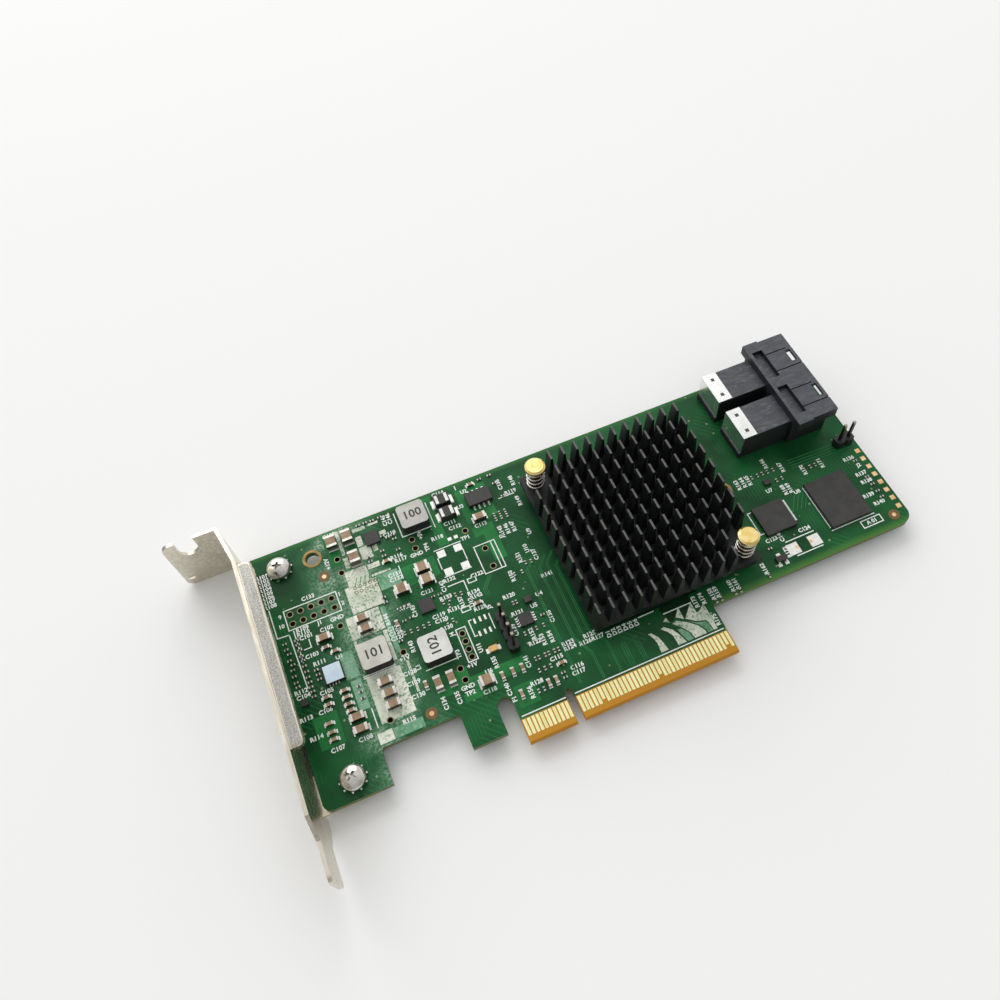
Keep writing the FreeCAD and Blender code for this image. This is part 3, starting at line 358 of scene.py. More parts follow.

# pale pours: the speckled cream is a painted glare of the light on the plates by the bracket; the fan of
# pours by the contacts takes the same pale colour
pale_pour_and_glare, tree, shader, tone = surface(
    "pale_pour_and_glare", (0.55, 0.61, 0.48), (0.80, 0.81, 0.70), 260.0, (0.28, 0.42), 800.0, 0.00003,
    specular=mask_specular)
grain = ramp(tree, cloud(tree, 1500.0, 3.0), 0.50, 0.62, 0.0, 0.75)
speck_gap = knit(tree, "ShaderNodeTexVoronoi",
                 {"Vector": own_place(tree), "Scale": 800.0, "Randomness": 0.8}).outputs["Distance"]
# dark speckles that break up the painted glare
glare_speckle = both(tree, grain, ramp(tree, cloud(tree, 190.0), 0.34, 0.56))
speckled = blend_colour(tree, glare_speckle, tone, (0.07, 0.19, 0.08))
speckled = blend_colour(tree, ramp(tree, speck_gap, 0.15, 0.06), speckled, (0.14, 0.23, 0.13))
tree.links.new(speckled, shader.inputs["Base Color"])
pale_pours_and_glare = open_mesh("pale_copper_pours_and_glare")
# plates of painted glare by the bracket
glare_plates = [
    (16.9, 38.6, 24.9, 44.5), (19.0, 44.8, 26.8, 52.0), (20.2, 52.0, 25.6, 56.2), (16.9, 30.2, 17.6, 38.2),
    (24.0, 30.2, 24.9, 38.2), (16.9, 17.2, 24.9, 28.6), (15.2, 13.0, 18.6, 15.6), (21.2, 60.8, 22.0, 68.0),
    (26.5, 21.0, 27.1, 29.0), (25.4, 57.6, 28.2, 61.2), (25.4, 61.5, 26.9, 64.4), (25.4, 65.8, 28.6, 66.8),
    (21.0, 57.0, 22.2, 60.0), (28.6, 58.8, 29.8, 61.2), (25.9, 54.6, 28.9, 56.0), (31.4, 62.6, 33.0, 63.6),
    (29.2, 66.2, 32.0, 66.8), (26.1, 52.4, 30.8, 53.0),
]
for plate in glare_plates:
    add_plate(*plate)
fan_outlines = [
    [(79.3, 12.1), (80.1, 12.0), (81.1, 10.6), (81.5, 9.4), (81.9, 6.9), (80.1, 6.9), (80.3, 9.3),
     (80.0, 10.7)],
    [(82.5, 12.0), (83.4, 12.2), (85.0, 10.8), (85.8, 9.2), (86.6, 6.9), (84.5, 6.9), (84.4, 9.5),
     (83.7, 10.8)],
    [(83.9, 13.4), (84.9, 14.1), (85.2, 12.6)],
    [(85.6, 12.1), (86.6, 12.5), (89.0, 11.0), (90.8, 9.3), (91.7, 7.6), (91.7, 6.9), (88.7, 6.9),
     (88.4, 8.6), (87.0, 10.7)],
    [(87.0, 13.25), (88.4, 14.9), (88.7, 14.9), (88.6, 12.1)],
    [(88.95, 12.0), (91.6, 14.9), (91.9, 14.9), (92.0, 12.3), (92.6, 12.3), (94.2, 13.5), (94.5, 13.0),
     (94.6, 10.5), (94.5, 6.9), (93.6, 6.9), (93.4, 9.0), (93.0, 9.8), (91.0, 10.4)],
]
for outline in fan_outlines:
    add_outline(outline)
close_mesh(pale_pours_and_glare, pour_rise, pale_pour_and_glare)

teal_pour, tree, shader, tone = surface(
    "teal_pour", (0.070, 0.250, 0.115), (0.210, 0.430, 0.290), 200.0, (0.26, 0.40), 800.0, 0.00002,
    specular=mask_specular)
grain = ramp(tree, cloud(tree, 1400.0, 3.0), 0.50, 0.60, 0.0, 0.5)
tree.links.new(blend_colour(tree, grain, tone, (0.40, 0.50, 0.36)), shader.inputs["Base Color"])
teal_pours = open_mesh("teal_copper_pours")
for pour in [(12.8, 30.0, 16.0, 36.6), (13.4, 22.0, 15.8, 29.4), (25.2, 31.6, 26.3, 44.0),
             (18.8, 13.0, 25.6, 15.4), (27.0, 48.0, 32.2, 52.2)]:
    add_plate(*pour)
add_outline([(86.0, 10.4), (87.0, 10.2), (88.1, 8.6), (88.4, 6.9), (87.0, 6.9), (86.2, 9.2)])
add_outline([(87.2, 12.8), (88.4, 11.8), (90.9, 10.1), (92.8, 9.5), (93.2, 8.8), (93.4, 6.9), (92.1, 6.9),
             (92.0, 7.7), (91.0, 9.5), (89.2, 11.2)])
close_mesh(teal_pours, pour_rise, teal_pour)

# near-black mask over gaps without copper, also used as painted shadow under the heat sink's front
gap_and_shadow_green = surface(
    "gap_and_shadow_green", (0.004, 0.020, 0.007), (0.007, 0.034, 0.012), 300.0, (0.26, 0.40), 700.0, 0.00002,
    specular=mask_specular)[0]
gaps_and_shadow_strip = open_mesh("mask_over_gaps_and_painted_shadow")
# painted shadow: a dark strip where the heat sink's base overhangs the board
add_plate(69.0, 17.0, 94.6, 18.8)
add_plate(84.6, 15.3, 92.3, 17.2, step_up)
add_outline([(85.1, 14.8), (88.2, 14.8), (86.9, 13.25), (86.3, 12.7), (85.5, 12.6)])
add_outline([(88.9, 14.8), (91.3, 14.8), (88.85, 12.3)])
close_mesh(gaps_and_shadow_strip, pour_rise, gap_and_shadow_green)

track_green = surface(
    "track_green", (0.022, 0.165, 0.050), (0.040, 0.225, 0.075), 200.0, (0.24, 0.36), 700.0, 0.00002,
    specular=mask_specular)[0]
tracks = open_mesh("mask_covered_tracks")
for pair_place, foot, bend in ((60.3, 8.0, 38.5), (63.3, 18.2, 38.0), (65.4, 18.6, 38.4),
                               (67.2, 19.0, 37.0)):
    for shift in (0.0, track_gap):
        add_stroke(pair_place + shift, foot, pair_place + shift, bend, track_width)
        add_stroke(pair_place + shift, bend, pair_place + shift + 2.6, bend + 2.8, track_width, step_up)
for shift in (0.0, track_gap):
    add_stroke(63.3 + shift, 18.2, 65.6 + shift, 13.6, track_width, step_up)
    add_stroke(65.6 + shift, 13.6, 65.6 + shift, 7.0, track_width)
    add_stroke(67.2 + shift, 19.0, 69.8 + shift, 14.4, track_width, step_up)
    add_stroke(69.8 + shift, 14.4, 69.8 + shift, 7.0, track_width)
for number in range(4):
    add_stroke(133.0, 37.2 + 0.8 * number, 150.0, 36.6 + 0.8 * number, track_width)
    add_stroke(126.4 + 1.2 * number, 26.2, 129.2 + 1.2 * number, 30.0, track_width)
for number in range(3):
    add_stroke(49.2 + 0.45 * number, 36.2, 49.2 + 0.45 * number, 38.4, track_width)
    add_stroke(49.2 + 0.45 * number, 38.4, 51.6 + 0.45 * number, 41.2, track_width, step_up)
    add_stroke(72.6 + 0.5 * number, 7.0, 72.6 + 0.5 * number, 12.6, track_width)
    add_stroke(75.8 + 0.5 * number, 7.0, 75.8 + 0.5 * number, 13.2, track_width)
for number in range(5):
    add_stroke(21.4 + 1.25 * number, 51.4, 22.6 + 1.05 * number, 53.6, track_width)
close_mesh(tracks, track_rise, track_green)


# White print on the mask: outlines round the parts and one line above the contacts, screened on
# in a thin ink that is slightly uneven.
print_rise = 0.03
line_width = 0.26
print_white = surface(
    "print_white", (0.74, 0.79, 0.74), (0.90, 0.92, 0.89), 900.0, (0.5, 0.7), 2500.0, 0.00001)[0]
print_boxes = [(4.05, 47.1, 16.85, 52.4), (39.45, 22.7, 41.75, 31.3), (51.15, 41.8, 56.45, 49.7),
               (139.6, 15.0, 145.0, 16.9), (46.6, 41.2, 48.6, 42.3), (42.5, 34.7, 44.6, 35.8)]
print_lines = [
    (55.45, 41.8, 55.45, 49.7), (1.0, 54.0, 1.0, 46.3), (1.0, 46.3, 3.8, 46.1), (3.8, 46.1, 4.2, 32.0),
    (7.7, 41.1, 7.7, 43.2), (6.1, 41.1, 7.7, 41.1), (16.5, 29.2, 24.0, 29.2), (16.5, 28.75, 24.0, 28.75),
    (42.0, 52.7, 48.7, 52.7), (42.0, 45.0, 48.7, 45.0), (42.1, 47.4, 42.1, 50.4), (48.6, 47.4, 48.6, 50.4),
    (41.8, 42.4, 45.7, 42.4), (45.7, 39.6, 45.7, 42.4), (115.9, 23.8, 115.9, 30.2),
    (115.9, 30.2, 116.8, 30.2), (115.9, 23.8, 116.8, 23.8), (125.8, 23.9, 125.8, 30.0),
    (126.0, 23.9, 126.0, 30.0), (120.3, 19.6, 128.0, 19.6), (121.0, 15.3, 128.0, 15.3),
    (132.2, 18.6, 132.2, 31.0), (132.2, 17.7, 144.0, 17.7), (36.3, 59.6, 43.7, 59.6),
    (36.3, 59.6, 36.3, 66.8), (30.0, 24.8, 37.2, 24.8), (32.8, 49.0, 32.8, 52.5), (43.0, 28.0, 43.0, 32.2),
    (43.0, 28.0, 43.6, 28.0), (43.0, 32.2, 43.6, 32.2), (48.0, 28.0, 48.0, 32.0), (45.6, 6.3, 55.9, 6.3),
    (58.4, 6.3, 95.6, 6.3), (53.0, 66.9, 53.0, 68.0), (62.0, 60.0, 66.0, 60.0), (44.6, 59.0, 44.6, 66.5),
    (5.0, 38.2, 5.0, 46.6), (26.0, 30.4, 27.4, 30.4), (79.2, 16.7, 83.0, 16.7), (84.9, 15.08, 91.9, 15.08),
    (15.9, 17.0, 15.9, 21.6),
]
print_outlines = open_mesh("printed_outlines")
for left, low, right, high in print_boxes:
    for line in ((left, low, right, low), (right, low, right, high),
                 (right, high, left, high), (left, high, left, low)):
        add_stroke(*line, line_width, step_up * (line[0] == line[2]))
for line in print_lines:
    add_stroke(*line, line_width, step_up * (line[0] == line[2]))
close_mesh(print_outlines, print_rise, print_white)


# Reference labels: a letter for the kind of part and a running number, about a millimetre high,
# printed beside each part in the same white ink.
label_size = 1.45
label_stroke = 0.05
label_first = 101


def print_text(words, along, up, turned, size, level):
    bpy.ops.object.text_add(location=spot(along, up, level + print_rise / 2),
                            rotation=(0, 0, math.pi / 2 if turned else 0))
    text = bpy.context.object
    text.data.body = words
    text.data.size = size * MM
    text.data.align_x = "CENTER"
    text.data.align_y = "CENTER"
    text.data.extrude = print_rise / 2 * MM
    text.data.offset = label_stroke * MM
    text.data.resolution_u = 2
    return text


def gather(pieces, name):
    # turns the words into one mesh that holds their places
    bpy.ops.object.select_all(action="DESELECT")
    for piece in pieces:
        piece.select_set(True)
    bpy.context.view_layer.objects.active = pieces[0]
    bpy.ops.object.convert(target="MESH")
    bpy.ops.object.join()
    bpy.ops.object.transform_apply(location=True, rotation=True, scale=True)
    whole = bpy.context.object
    whole.name = name
    return whole


flat_labels = {
    "R": [(1.6, 63.3), (1.6, 62.1), (1.6, 60.9), (1.6, 59.7), (1.6, 58.5), (1.6, 57.3), (1.6, 56.1),
          (1.6, 54.9), (7.0, 46.3), (6.9, 45.2), (8.4, 36.7), (2.6, 31.7), (2.0, 25.2), (2.9, 20.2),
          (22.7, 15.7), (33.2, 55.2), (33.9, 54.0), (44.0, 55.9), (65.4, 60.7), (54.0, 34.2),
          (54.2, 29.4), (55.0, 21.0), (61.8, 17.8), (61.8, 16.6), (67.1, 17.6), (65.5, 16.3),
          (68.6, 16.3), (51.6, 12.1), (46.7, 34.2), (37.8, 32.7), (41.0, 36.4), (42.7, 44.0),
          (40.3, 40.0), (46.8, 38.6), (30.7, 41.6), (147.4, 33.7), (147.7, 28.6), (147.7, 26.2),
          (145.8, 22.5), (147.0, 19.7), (64.5, 35.7), (47.0, 37.4)],
    "C": [(7.3, 44.1), (12.2, 44.1), (7.3, 39.1), (2.8, 30.4), (7.9, 29.4), (6.4, 25.2), (6.5, 16.0),
          (12.7, 15.8), (19.7, 67.6), (33.6, 61.9), (48.3, 58.6), (49.0, 56.9), (55.1, 54.9),
          (48.4, 67.7), (58.0, 15.6), (61.4, 11.9), (61.2, 10.5), (41.4, 14.6), (37.2, 36.3),
          (37.4, 35.0), (36.8, 43.2), (49.2, 42.6), (117.6, 21.6), (126.3, 20.9), (26.6, 37.7),
          (26.6, 36.4), (26.6, 35.1), (26.4, 25.9), (26.4, 23.3), (26.4, 20.1), (31.2, 50.8),
          (31.2, 49.5), (10.4, 53.6)],
    "U": [(12.9, 36.2), (54.6, 65.6), (52.3, 61.8), (60.7, 31.8), (58.4, 29.5), (42.8, 18.9),
          (124.3, 33.8), (130.4, 30.7)],
    "J": [(11.2, 46.2), (148.6, 31.0)],
    "TP": [(50.3, 53.0), (37.2, 15.9)],
}
upright_labels = {
    "R": [(28.9, 31.7), (25.8, 40.4), (59.0, 51.2), (60.6, 51.2), (62.2, 51.2), (67.0, 63.6),
          (66.3, 57.4), (56.7, 38.7), (60.2, 42.6), (55.3, 23.2), (57.0, 20.9), (58.9, 20.8),
          (44.9, 20.3), (49.6, 10.5), (43.3, 37.4), (97.5, 15.0), (98.8, 15.0), (102.6, 15.0),
          (104.0, 15.0), (112.0, 15.6), (118.0, 38.5), (119.6, 38.6), (121.1, 38.6), (127.2, 41.3),
          (130.6, 38.6), (127.8, 32.5), (129.2, 32.5), (135.3, 35.6), (140.3, 35.6), (119.3, 17.2),
          (93.0, 14.8), (94.9, 14.9), (95.3, 8.9)],
    "D": [(71.2, 15.9), (72.6, 15.9), (74.0, 15.9), (75.4, 15.9), (76.8, 15.9), (78.2, 15.9)],
    "C": [(31.2, 16.0), (34.4, 16.0), (63.6, 63.8), (64.0, 41.8), (60.9, 25.4), (52.0, 25.7),
          (45.2, 13.2), (51.6, 17.5), (40.7, 43.0), (32.3, 39.8), (120.0, 21.6), (33.6, 66.0),
          (34.9, 66.0)],
    "L": [(28.6, 26.4)],
    "U": [(65.2, 48.3), (62.7, 44.2), (43.0, 25.0), (45.4, 36.4)],
    "J": [(58.6, 49.8), (38.4, 30.7), (48.7, 33.6)],
    "F": [(45.6, 10.6)],
    "TP": [(38.0, 25.6), (40.8, 54.6)],
}
plain_words = [
    ("GND", 15.2, 45.6, False), ("GND", 37.9, 53.7, False), ("GND", 37.2, 17.4, False),
    ("+1V", 26.4, 29.6, False), ("+1V", 39.9, 21.8, False), ("9", 3.0, 51.3, False),
    ("10", 2.7, 48.8, False), ("1", 17.5, 51.3, False), ("2", 17.6, 48.8, False),
    ("A 01", 142.3, 15.95, False), ("+12V", 17.2, 60.2, True), ("+5V", 40.4, 58.4, True),
]
label_counts = {}
labels = []
for group, turned in ((flat_labels, False), (upright_labels, True)):
    for kind, places in group.items():
        start = label_first if kind in "RC" else 1
        for along, up in places:
            number = label_counts.get(kind, start)
            label_counts[kind] = number + 1
            labels.append(print_text(f"{kind}{number}", along, up, turned, label_size, 0.0))
for words, along, up, turned in plain_words:
    labels.append(print_text(words, along, up, turned, label_size, 0.0))
settle(gather(labels, "printed_labels"), print_white)


# Bare pads: copper left open in the mask and coated with bright tin, for parts that are not
# fitted and under the ends of those that are. The right edge has a column of gilded test pads.
pad_rise = 0.035


def add_pad(along, up, half_along, half_up, level=0.0):
    add_plate(along - half_along, up - half_up, along + half_along, up + half_up, level)


tin_bright = surface(
    "tin_bright", (0.74, 0.73, 0.69), (0.88, 0.87, 0.83), 1200.0, (0.30, 0.46), 3000.0, 0.00003, 0.35)[0]
tin_pads = open_mesh("bare_tin_pads")
pad_groups = [
    (2.0, 1.9, [(43.35, 51.3), (47.65, 51.3), (43.35, 46.1), (47.65, 46.1)]),
    (3.0, 3.0, [(121.1, 17.3), (127.0, 17.3)]),
    (0.5, 1.3, [(44.3, 31.6), (45.65, 31.6), (46.9, 31.6), (44.3, 28.2), (45.65, 28.2), (46.9, 28.2)]),
    (0.95, 0.9, [(46.65, 54.3), (48.25, 54.3)]),
    (0.9, 2.5, [(46.2, 65.0), (51.0, 65.0), (46.2, 61.0), (51.0, 61.0)]),
    (0.8, 1.2, [(44.4, 23.4), (47.1, 23.4)]),
    (1.0, 0.8, [(115.9, 14.8), (117.8, 14.8), (116.85, 17.4)]),
]
for width, height, places in pad_groups:
    for along, up in places:
        add_pad(along, up, width / 2, height / 2)
close_mesh(tin_pads, pad_rise, tin_bright)

gilt = surface(
    "gilt_copper", (0.72, 0.42, 0.20), (0.90, 0.66, 0.36), 800.0, (0.28, 0.42), 2500.0, 0.00002, 0.7)[0]
gold_pads = open_mesh("gold_test_pads")
pad_pitch = 2.54
edge_half = 0.6
edge_place = 150.75
edge_top = 34.8
dot_half = 0.4
for number in range(8):
    add_pad(edge_place, edge_top - pad_pitch * number, edge_half, edge_half)
for along, up in ((122.1, 17.4), (126.0, 17.4)):
    add_pad(along, up, dot_half, dot_half, pad_rise)
close_mesh(gold_pads, pad_rise, gilt)


# Plated holes and sighting marks: a copper ring round each drilled place, with a near-black disc
# of painted shade for the bore inside each small one, and three round marks that let the placing
# machine line the board up.
ring_rise = 0.04
bore_pitch = 2.54
bore_ring = 0.82
bore_ring_width = 0.19
bore_floor = 0.64
large_ring = 2.35
large_ring_width = 0.65
array_pitch = 1.25
array_ring = 0.46
array_ring_width = 0.13
mark_ring = 1.4
mark_ring_width = 0.86
mark_dot = 0.55


def add_disc(along, up, radius, sides=20):
    bpy.ops.mesh.primitive_circle_add(vertices=sides, radius=radius * MM, fill_type="NGON",
                                      location=spot(along, up))


def open_rings(width):
    # leaves only a ring of each disc
    bpy.ops.mesh.select_all(action="SELECT")
    bpy.ops.mesh.inset(thickness=width * MM, use_individual=True)
    bpy.ops.mesh.delete(type="FACE")


small_bores = [(5.31 + bore_pitch * column, row) for column in range(5) for row in (48.5, 51.04)]
small_bores += [(40.6, up) for up in (29.9, 27.8, 25.7, 23.7)]
small_bores += [(53.65, 48.3), (53.65, 43.1), (19.75, 60.4), (19.65, 56.5), (15.35, 43.4), (38.15, 58.0),
                (38.15, 55.4), (50.95, 54.9), (26.65, 31.2), (18.85, 17.4), (37.15, 22.1), (37.25, 19.2)]
bore_rings = open_mesh("small_bore_rings")
for along, up in small_bores:
    add_disc(along, up, bore_ring)
open_rings(bore_ring_width)
ring_brown = surface(
    "ring_brown", (0.24, 0.19, 0.10), (0.42, 0.36, 0.21), 900.0, (0.3, 0.46), 2500.0, 0.00002, 0.3)[0]
close_mesh(bore_rings, ring_rise, ring_brown)

# painted shade: a near-black disc stands for the shade inside each small bore
bore_shade = surface(
    "bore_shade", (0.002, 0.002, 0.002), (0.005, 0.005, 0.004), 900.0, (0.7, 0.9), 2500.0, 0.00002,
    specular=0.05)[0]
bore_shade_discs = open_mesh("small_bore_painted_shade")
for along, up in small_bores:
    add_disc(along, up, bore_floor)
close_mesh(bore_shade_discs, ring_rise / 2, bore_shade)

large_rings = open_mesh("large_hole_rings")
for along, up in ((14.2, 63.2), (113.9, 38.6)):
    add_disc(along, up, large_ring, 40)
open_rings(large_ring_width)
ring_gold = surface(
    "ring_gold", (0.22, 0.13, 0.03), (0.38, 0.24, 0.07), 700.0, (0.3, 0.46), 2500.0, 0.00002, 0.3)[0]
close_mesh(large_rings, ring_rise, ring_gold)

mark_brown = surface(
    "mark_brown", (0.11, 0.055, 0.012), (0.20, 0.10, 0.022), 900.0, (0.35, 0.5), 2500.0, 0.00002)[0]
array_places = [(21.4 + array_pitch * column, row) for column in range(5) for row in (50.0, 51.3)]
array_rings = open_mesh("via_array_rings")
for along, up in array_places:
    add_disc(along, up, array_ring, 12)
open_rings(array_ring_width)
close_mesh(array_rings, ring_rise, mark_brown)

sighting_marks = [(15.55, 57.3), (27.7, 15.1), (148.25, 15.3)]
mark_rings = open_mesh("sighting_mark_rings")
for along, up in sighting_marks:
    add_disc(along, up, mark_ring, 32)
open_rings(mark_ring_width)
close_mesh(mark_rings, ring_rise, mark_brown)
mark_dots = open_mesh("sighting_mark_dots")
for along, up in sighting_marks:
    add_disc(along, up, mark_dot)
close_mesh(mark_dots, ring_rise, gilt)


# Edge contacts: hard gold over nickel on both faces of the tab, finely scratched along the way
# the card slides into its connector.
contact_gold, tree, shader = finish("contact_gold", metallic=0.85)
stretched = knit(tree, "ShaderNodeMapping", {"Vector": own_place(tree), "Scale": (2600.0, 90.0, 1.0)})
scratches = cloud(tree, 1.0, 3.0, stretched.outputs[0])
gold_tone = blend_colour(tree, ramp(tree, scratches, 0.35, 0.65), (0.78, 0.75, 0.32), (0.94, 0.91, 0.52))
tree.links.new(gold_tone, shader.inputs["Base Color"])
roughen(tree, shader, scratches, 0.22, 0.40)
relief(tree, shader, scratches, 0.00001, 0.4)
dress(contact_gold, "edge_contacts_component_side", "edge_contacts_rear_side")


# Bracket: one folded sheet of zinc-coated steel with a fine satin grain. Two of its tabs lie
# under the board and take the screws. The flat of the lip and the outer bend carry painted reflections.
bracket_steel, tree, shader = finish("bracket_steel", metallic=0.97)
drawn = knit(tree, "ShaderNodeMapping", {"Vector": own_place(tree), "Scale": (1500.0, 160.0, 1500.0)})
grain = cloud(tree, 1.0, 4.0, drawn.outputs[0])
bloom = ramp(tree, cloud(tree, 110.0, 4.0), 0.35, 0.65)
steel_tone = blend_colour(tree, bloom, (0.56, 0.51, 0.405), (0.73, 0.68, 0.57))
steel_tone = blend_colour(tree, ramp(tree, grain, 0.42, 0.70, 0.0, 0.6), steel_tone, (0.84, 0.80, 0.70))
# painted reflection: the upward flat of the lip is drawn in a darker, grainy tone
lip_reflection_mask = both(tree, ramp(tree, place_on(tree, "Z"), 0.0137, 0.0140),
                ramp(tree, place_on(tree, "X"), -0.05735, -0.05725))
lip_reflection_mask = both(tree, lip_reflection_mask, ramp(tree, facing(tree, "Z"), 0.93, 0.98))
lip_reflection_grain = ramp(tree, cloud(tree, 3600.0, 3.0), 0.36, 0.64)
lip_reflection_tone = blend_colour(tree, lip_reflection_grain, (0.27, 0.262, 0.238), (0.50, 0.49, 0.445))
steel_tone = blend_colour(tree, lip_reflection_mask, steel_tone, lip_reflection_tone)
# painted reflection: the sloping faces of the outer bend that turn outward are drawn dark
outer_bend_reflection = both(tree, ramp(tree, facing(tree, "Z"), 0.05, 0.20),
                  ramp(tree, facing(tree, "Z"), 0.97, 0.90))
outer_bend_reflection = both(tree, outer_bend_reflection, ramp(tree, facing(tree, "X"), -0.15, -0.30))
steel_tone = blend_colour(tree, outer_bend_reflection, steel_tone, (0.27, 0.255, 0.22))
tree.links.new(steel_tone, shader.inputs["Base Color"])
roughen(tree, shader, grain, 0.17, 0.33)
relief(tree, shader, grain, 0.00001, 0.35)
dress(bracket_steel, "low_profile_bracket")


# Bracket screws and lock washers: bright nickel-plated steel. Each domed head is forged with a cross
# recess, a little worn by the driver, and bears on a toothed washer.
screw_steel = surface(
    "screw_steel", (0.50, 0.48, 0.44), (0.74, 0.72, 0.68), 600.0, (0.12, 0.26), 2200.0, 0.00002, 0.97)[0]
dress(screw_steel, "upper_bracket_screw", "lower_bracket_screw", "upper_lock_washer", "lower_lock_washer")
head_radius = 2.95
head_height = 2.3
head_rim = 0.55
dome_steps = 7
shank_radius = 1.5
recess_length = 3.0
recess_width = 0.72
recess_depth = 1.1
recess_taper = (0.45, 0.6, 1)
dome_sweep = math.radians(82)
for screw, turn in (("upper_bracket_screw", 0.35), ("lower_bracket_screw", 0.75)):
    low_corner, high_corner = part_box(screw)
    foot = ((low_corner[0] + high_corner[0]) / 2, (low_corner[1] + high_corner[1]) / 2, low_corner[2])
    head_low = high_corner[2] - head_height * MM
    bpy.ops.object.select_all(action="DESELECT")
    bpy.ops.mesh.primitive_circle_add(vertices=40, radius=shank_radius * MM, fill_type="NGON", location=foot)
    head = bpy.context.object
    head.name = f"{screw}_domed"
    bpy.ops.object.transform_apply(location=True, rotation=False, scale=False)
    bpy.ops.object.mode_set(mode="EDIT")
    bpy.ops.mesh.select_all(action="SELECT")
    radius = shank_radius
    rings = [(head_low - foot[2], shank_radius), (0.0, head_radius), (head_rim * MM, head_radius)]
    dome = head_height - head_rim
    level = 0.0
    for step in range(1, dome_steps + 1):
        angle = dome_sweep * step / dome_steps
        rise = dome * math.sin(angle) / math.sin(dome_sweep)
        rings.append(((rise - level) * MM, head_radius * math.cos(angle)))
        level = rise
    for climb, ring_radius in rings:
        bpy.ops.mesh.extrude_region_move(TRANSFORM_OT_translate={"value": (0, 0, climb)})
        bpy.ops.transform.resize(value=(ring_radius / radius, ring_radius / radius, 1), center_override=foot)
        radius = ring_radius
    face_outward()
    above = (foot[0], foot[1], high_corner[2] + MM)
    bpy.ops.mesh.primitive_plane_add(size=MM, enter_editmode=True, location=above)
    bpy.ops.transform.resize(value=(recess_length, recess_width, 1), center_override=foot)
    bpy.ops.transform.rotate(value=turn, orient_axis="Z", center_override=foot)
    bpy.ops.mesh.extrude_region_move(TRANSFORM_OT_translate={"value": (0, 0, -(1 + recess_depth) * MM)})
    bpy.ops.transform.resize(value=recess_taper, center_override=foot)
    face_outward()
    bit = bpy.context.object
    for quarter in range(2):
        bpy.ops.object.select_all(action="DESELECT")
        bpy.context.view_layer.objects.active = head
        head.select_set(True)
        recess = head.modifiers.new("recess", "BOOLEAN")
        recess.operation = "DIFFERENCE"
        recess.solver = "EXACT"
        recess.object = bit
        bpy.ops.object.modifier_apply(modifier="recess")
        bpy.ops.object.select_all(action="DESELECT")
        bpy.context.view_layer.objects.active = bit
        bit.select_set(True)
        bpy.ops.object.mode_set(mode="EDIT")
        bpy.ops.mesh.select_all(action="SELECT")
        bpy.ops.transform.rotate(value=math.pi / 2, orient_axis="Z", center_override=foot)
        bpy.ops.object.mode_set(mode="OBJECT")
    bpy.ops.object.delete()
    bpy.context.view_layer.objects.active = head
    head.select_set(True)
    bpy.ops.object.mode_set(mode="EDIT")
    bpy.ops.mesh.select_all(action="SELECT")
    bpy.ops.mesh.remove_doubles(threshold=0.000001)
    bpy.ops.object.mode_set(mode="OBJECT")
    bpy.ops.object.shade_smooth_by_angle(angle=math.radians(35))
    settle(head, screw_steel)
    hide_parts(screw)


# Controller chip and thermal pad: a laminate carrier with a dull metal lid, and the grey soft
# pad that carries its heat into the sink above.
controller_package, tree, shader, tone = surface(
    "controller_package", (0.018, 0.045, 0.022), (0.030, 0.065, 0.034), 300.0, (0.4, 0.6), 1500.0, 0.00002)
lid_tone = blend_colour(tree, ramp(tree, place_on(tree, "Z"), 0.00098, 0.00102), tone, (0.42, 0.42, 0.41))
tree.links.new(lid_tone, shader.inputs["Base Color"])
dress(controller_package, "controller_chip")
thermal_grey = surface(
    "thermal_grey", (0.22, 0.23, 0.25), (0.31, 0.32, 0.34), 900.0, (0.75, 0.92), 2500.0, 0.00005)[0]
dress(thermal_grey, "thermal_pad")


# Heat sink: extruded aluminium cut across into rows of tapered pins and anodised black. The thin
# tips are drawn a little paler at the very top.
sink_black, tree, shader, tone = surface(
    "sink_black", (0.006, 0.007, 0.007), (0.013, 0.015, 0.014), 500.0, (0.36, 0.54), 2600.0, 0.00004,
    specular=0.35)
sink_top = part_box("heat_sink")[1][2]
tips = ramp(tree, place_on(tree, "Z"), sink_top - 0.0002, sink_top - 0.00002)
# the top of each tip is drawn paler in patches
pale_tips = both(tree, tips, ramp(tree, cloud(tree, 700.0), 0.30, 0.60, 0.45, 1.0))
tree.links.new(blend_colour(tree, pale_tips, tone, (0.11, 0.11, 0.105)), shader.inputs["Base Color"])
dress(sink_black, "heat_sink")


# Push pins: turned brass pegs with a broad head, sprung into the board by a split barb. Fine
# turning marks run round the head.
def turned_brass(name, middle, head_low):
    material, tree, shader = finish(name, metallic=0.92)
    centred = knit(tree, "ShaderNodeMapping",
                   {"Vector": own_place(tree), "Location": (-middle[0], -middle[1], 0.0)})
    rings = knit(tree, "ShaderNodeTexWave",
                 {"Vector": centred.outputs[0], "Scale": 420.0, "Distortion": 0.5, "Detail": 1.0},
                 wave_type="RINGS", rings_direction="Z").outputs["Fac"]
    drift = ramp(tree, cloud(tree, 500.0), 0.35, 0.65)
    tone = blend_colour(tree, drift, (0.82, 0.60, 0.18), (0.96, 0.78, 0.36))
    # painted shade: below the head the brass is drawn dark brown
    shade_under_head = ramp(tree, place_on(tree, "Z"), head_low, head_low - 0.0001)
    tone = blend_colour(tree, shade_under_head, tone, (0.20, 0.145, 0.06))
    tree.links.new(tone, shader.inputs["Base Color"])
    tree.links.new(ramp(tree, rings, 0.0, 1.0, 0.16, 0.32), shader.inputs["Roughness"])
    relief(tree, shader, rings, 0.00001, 0.2)
    return material


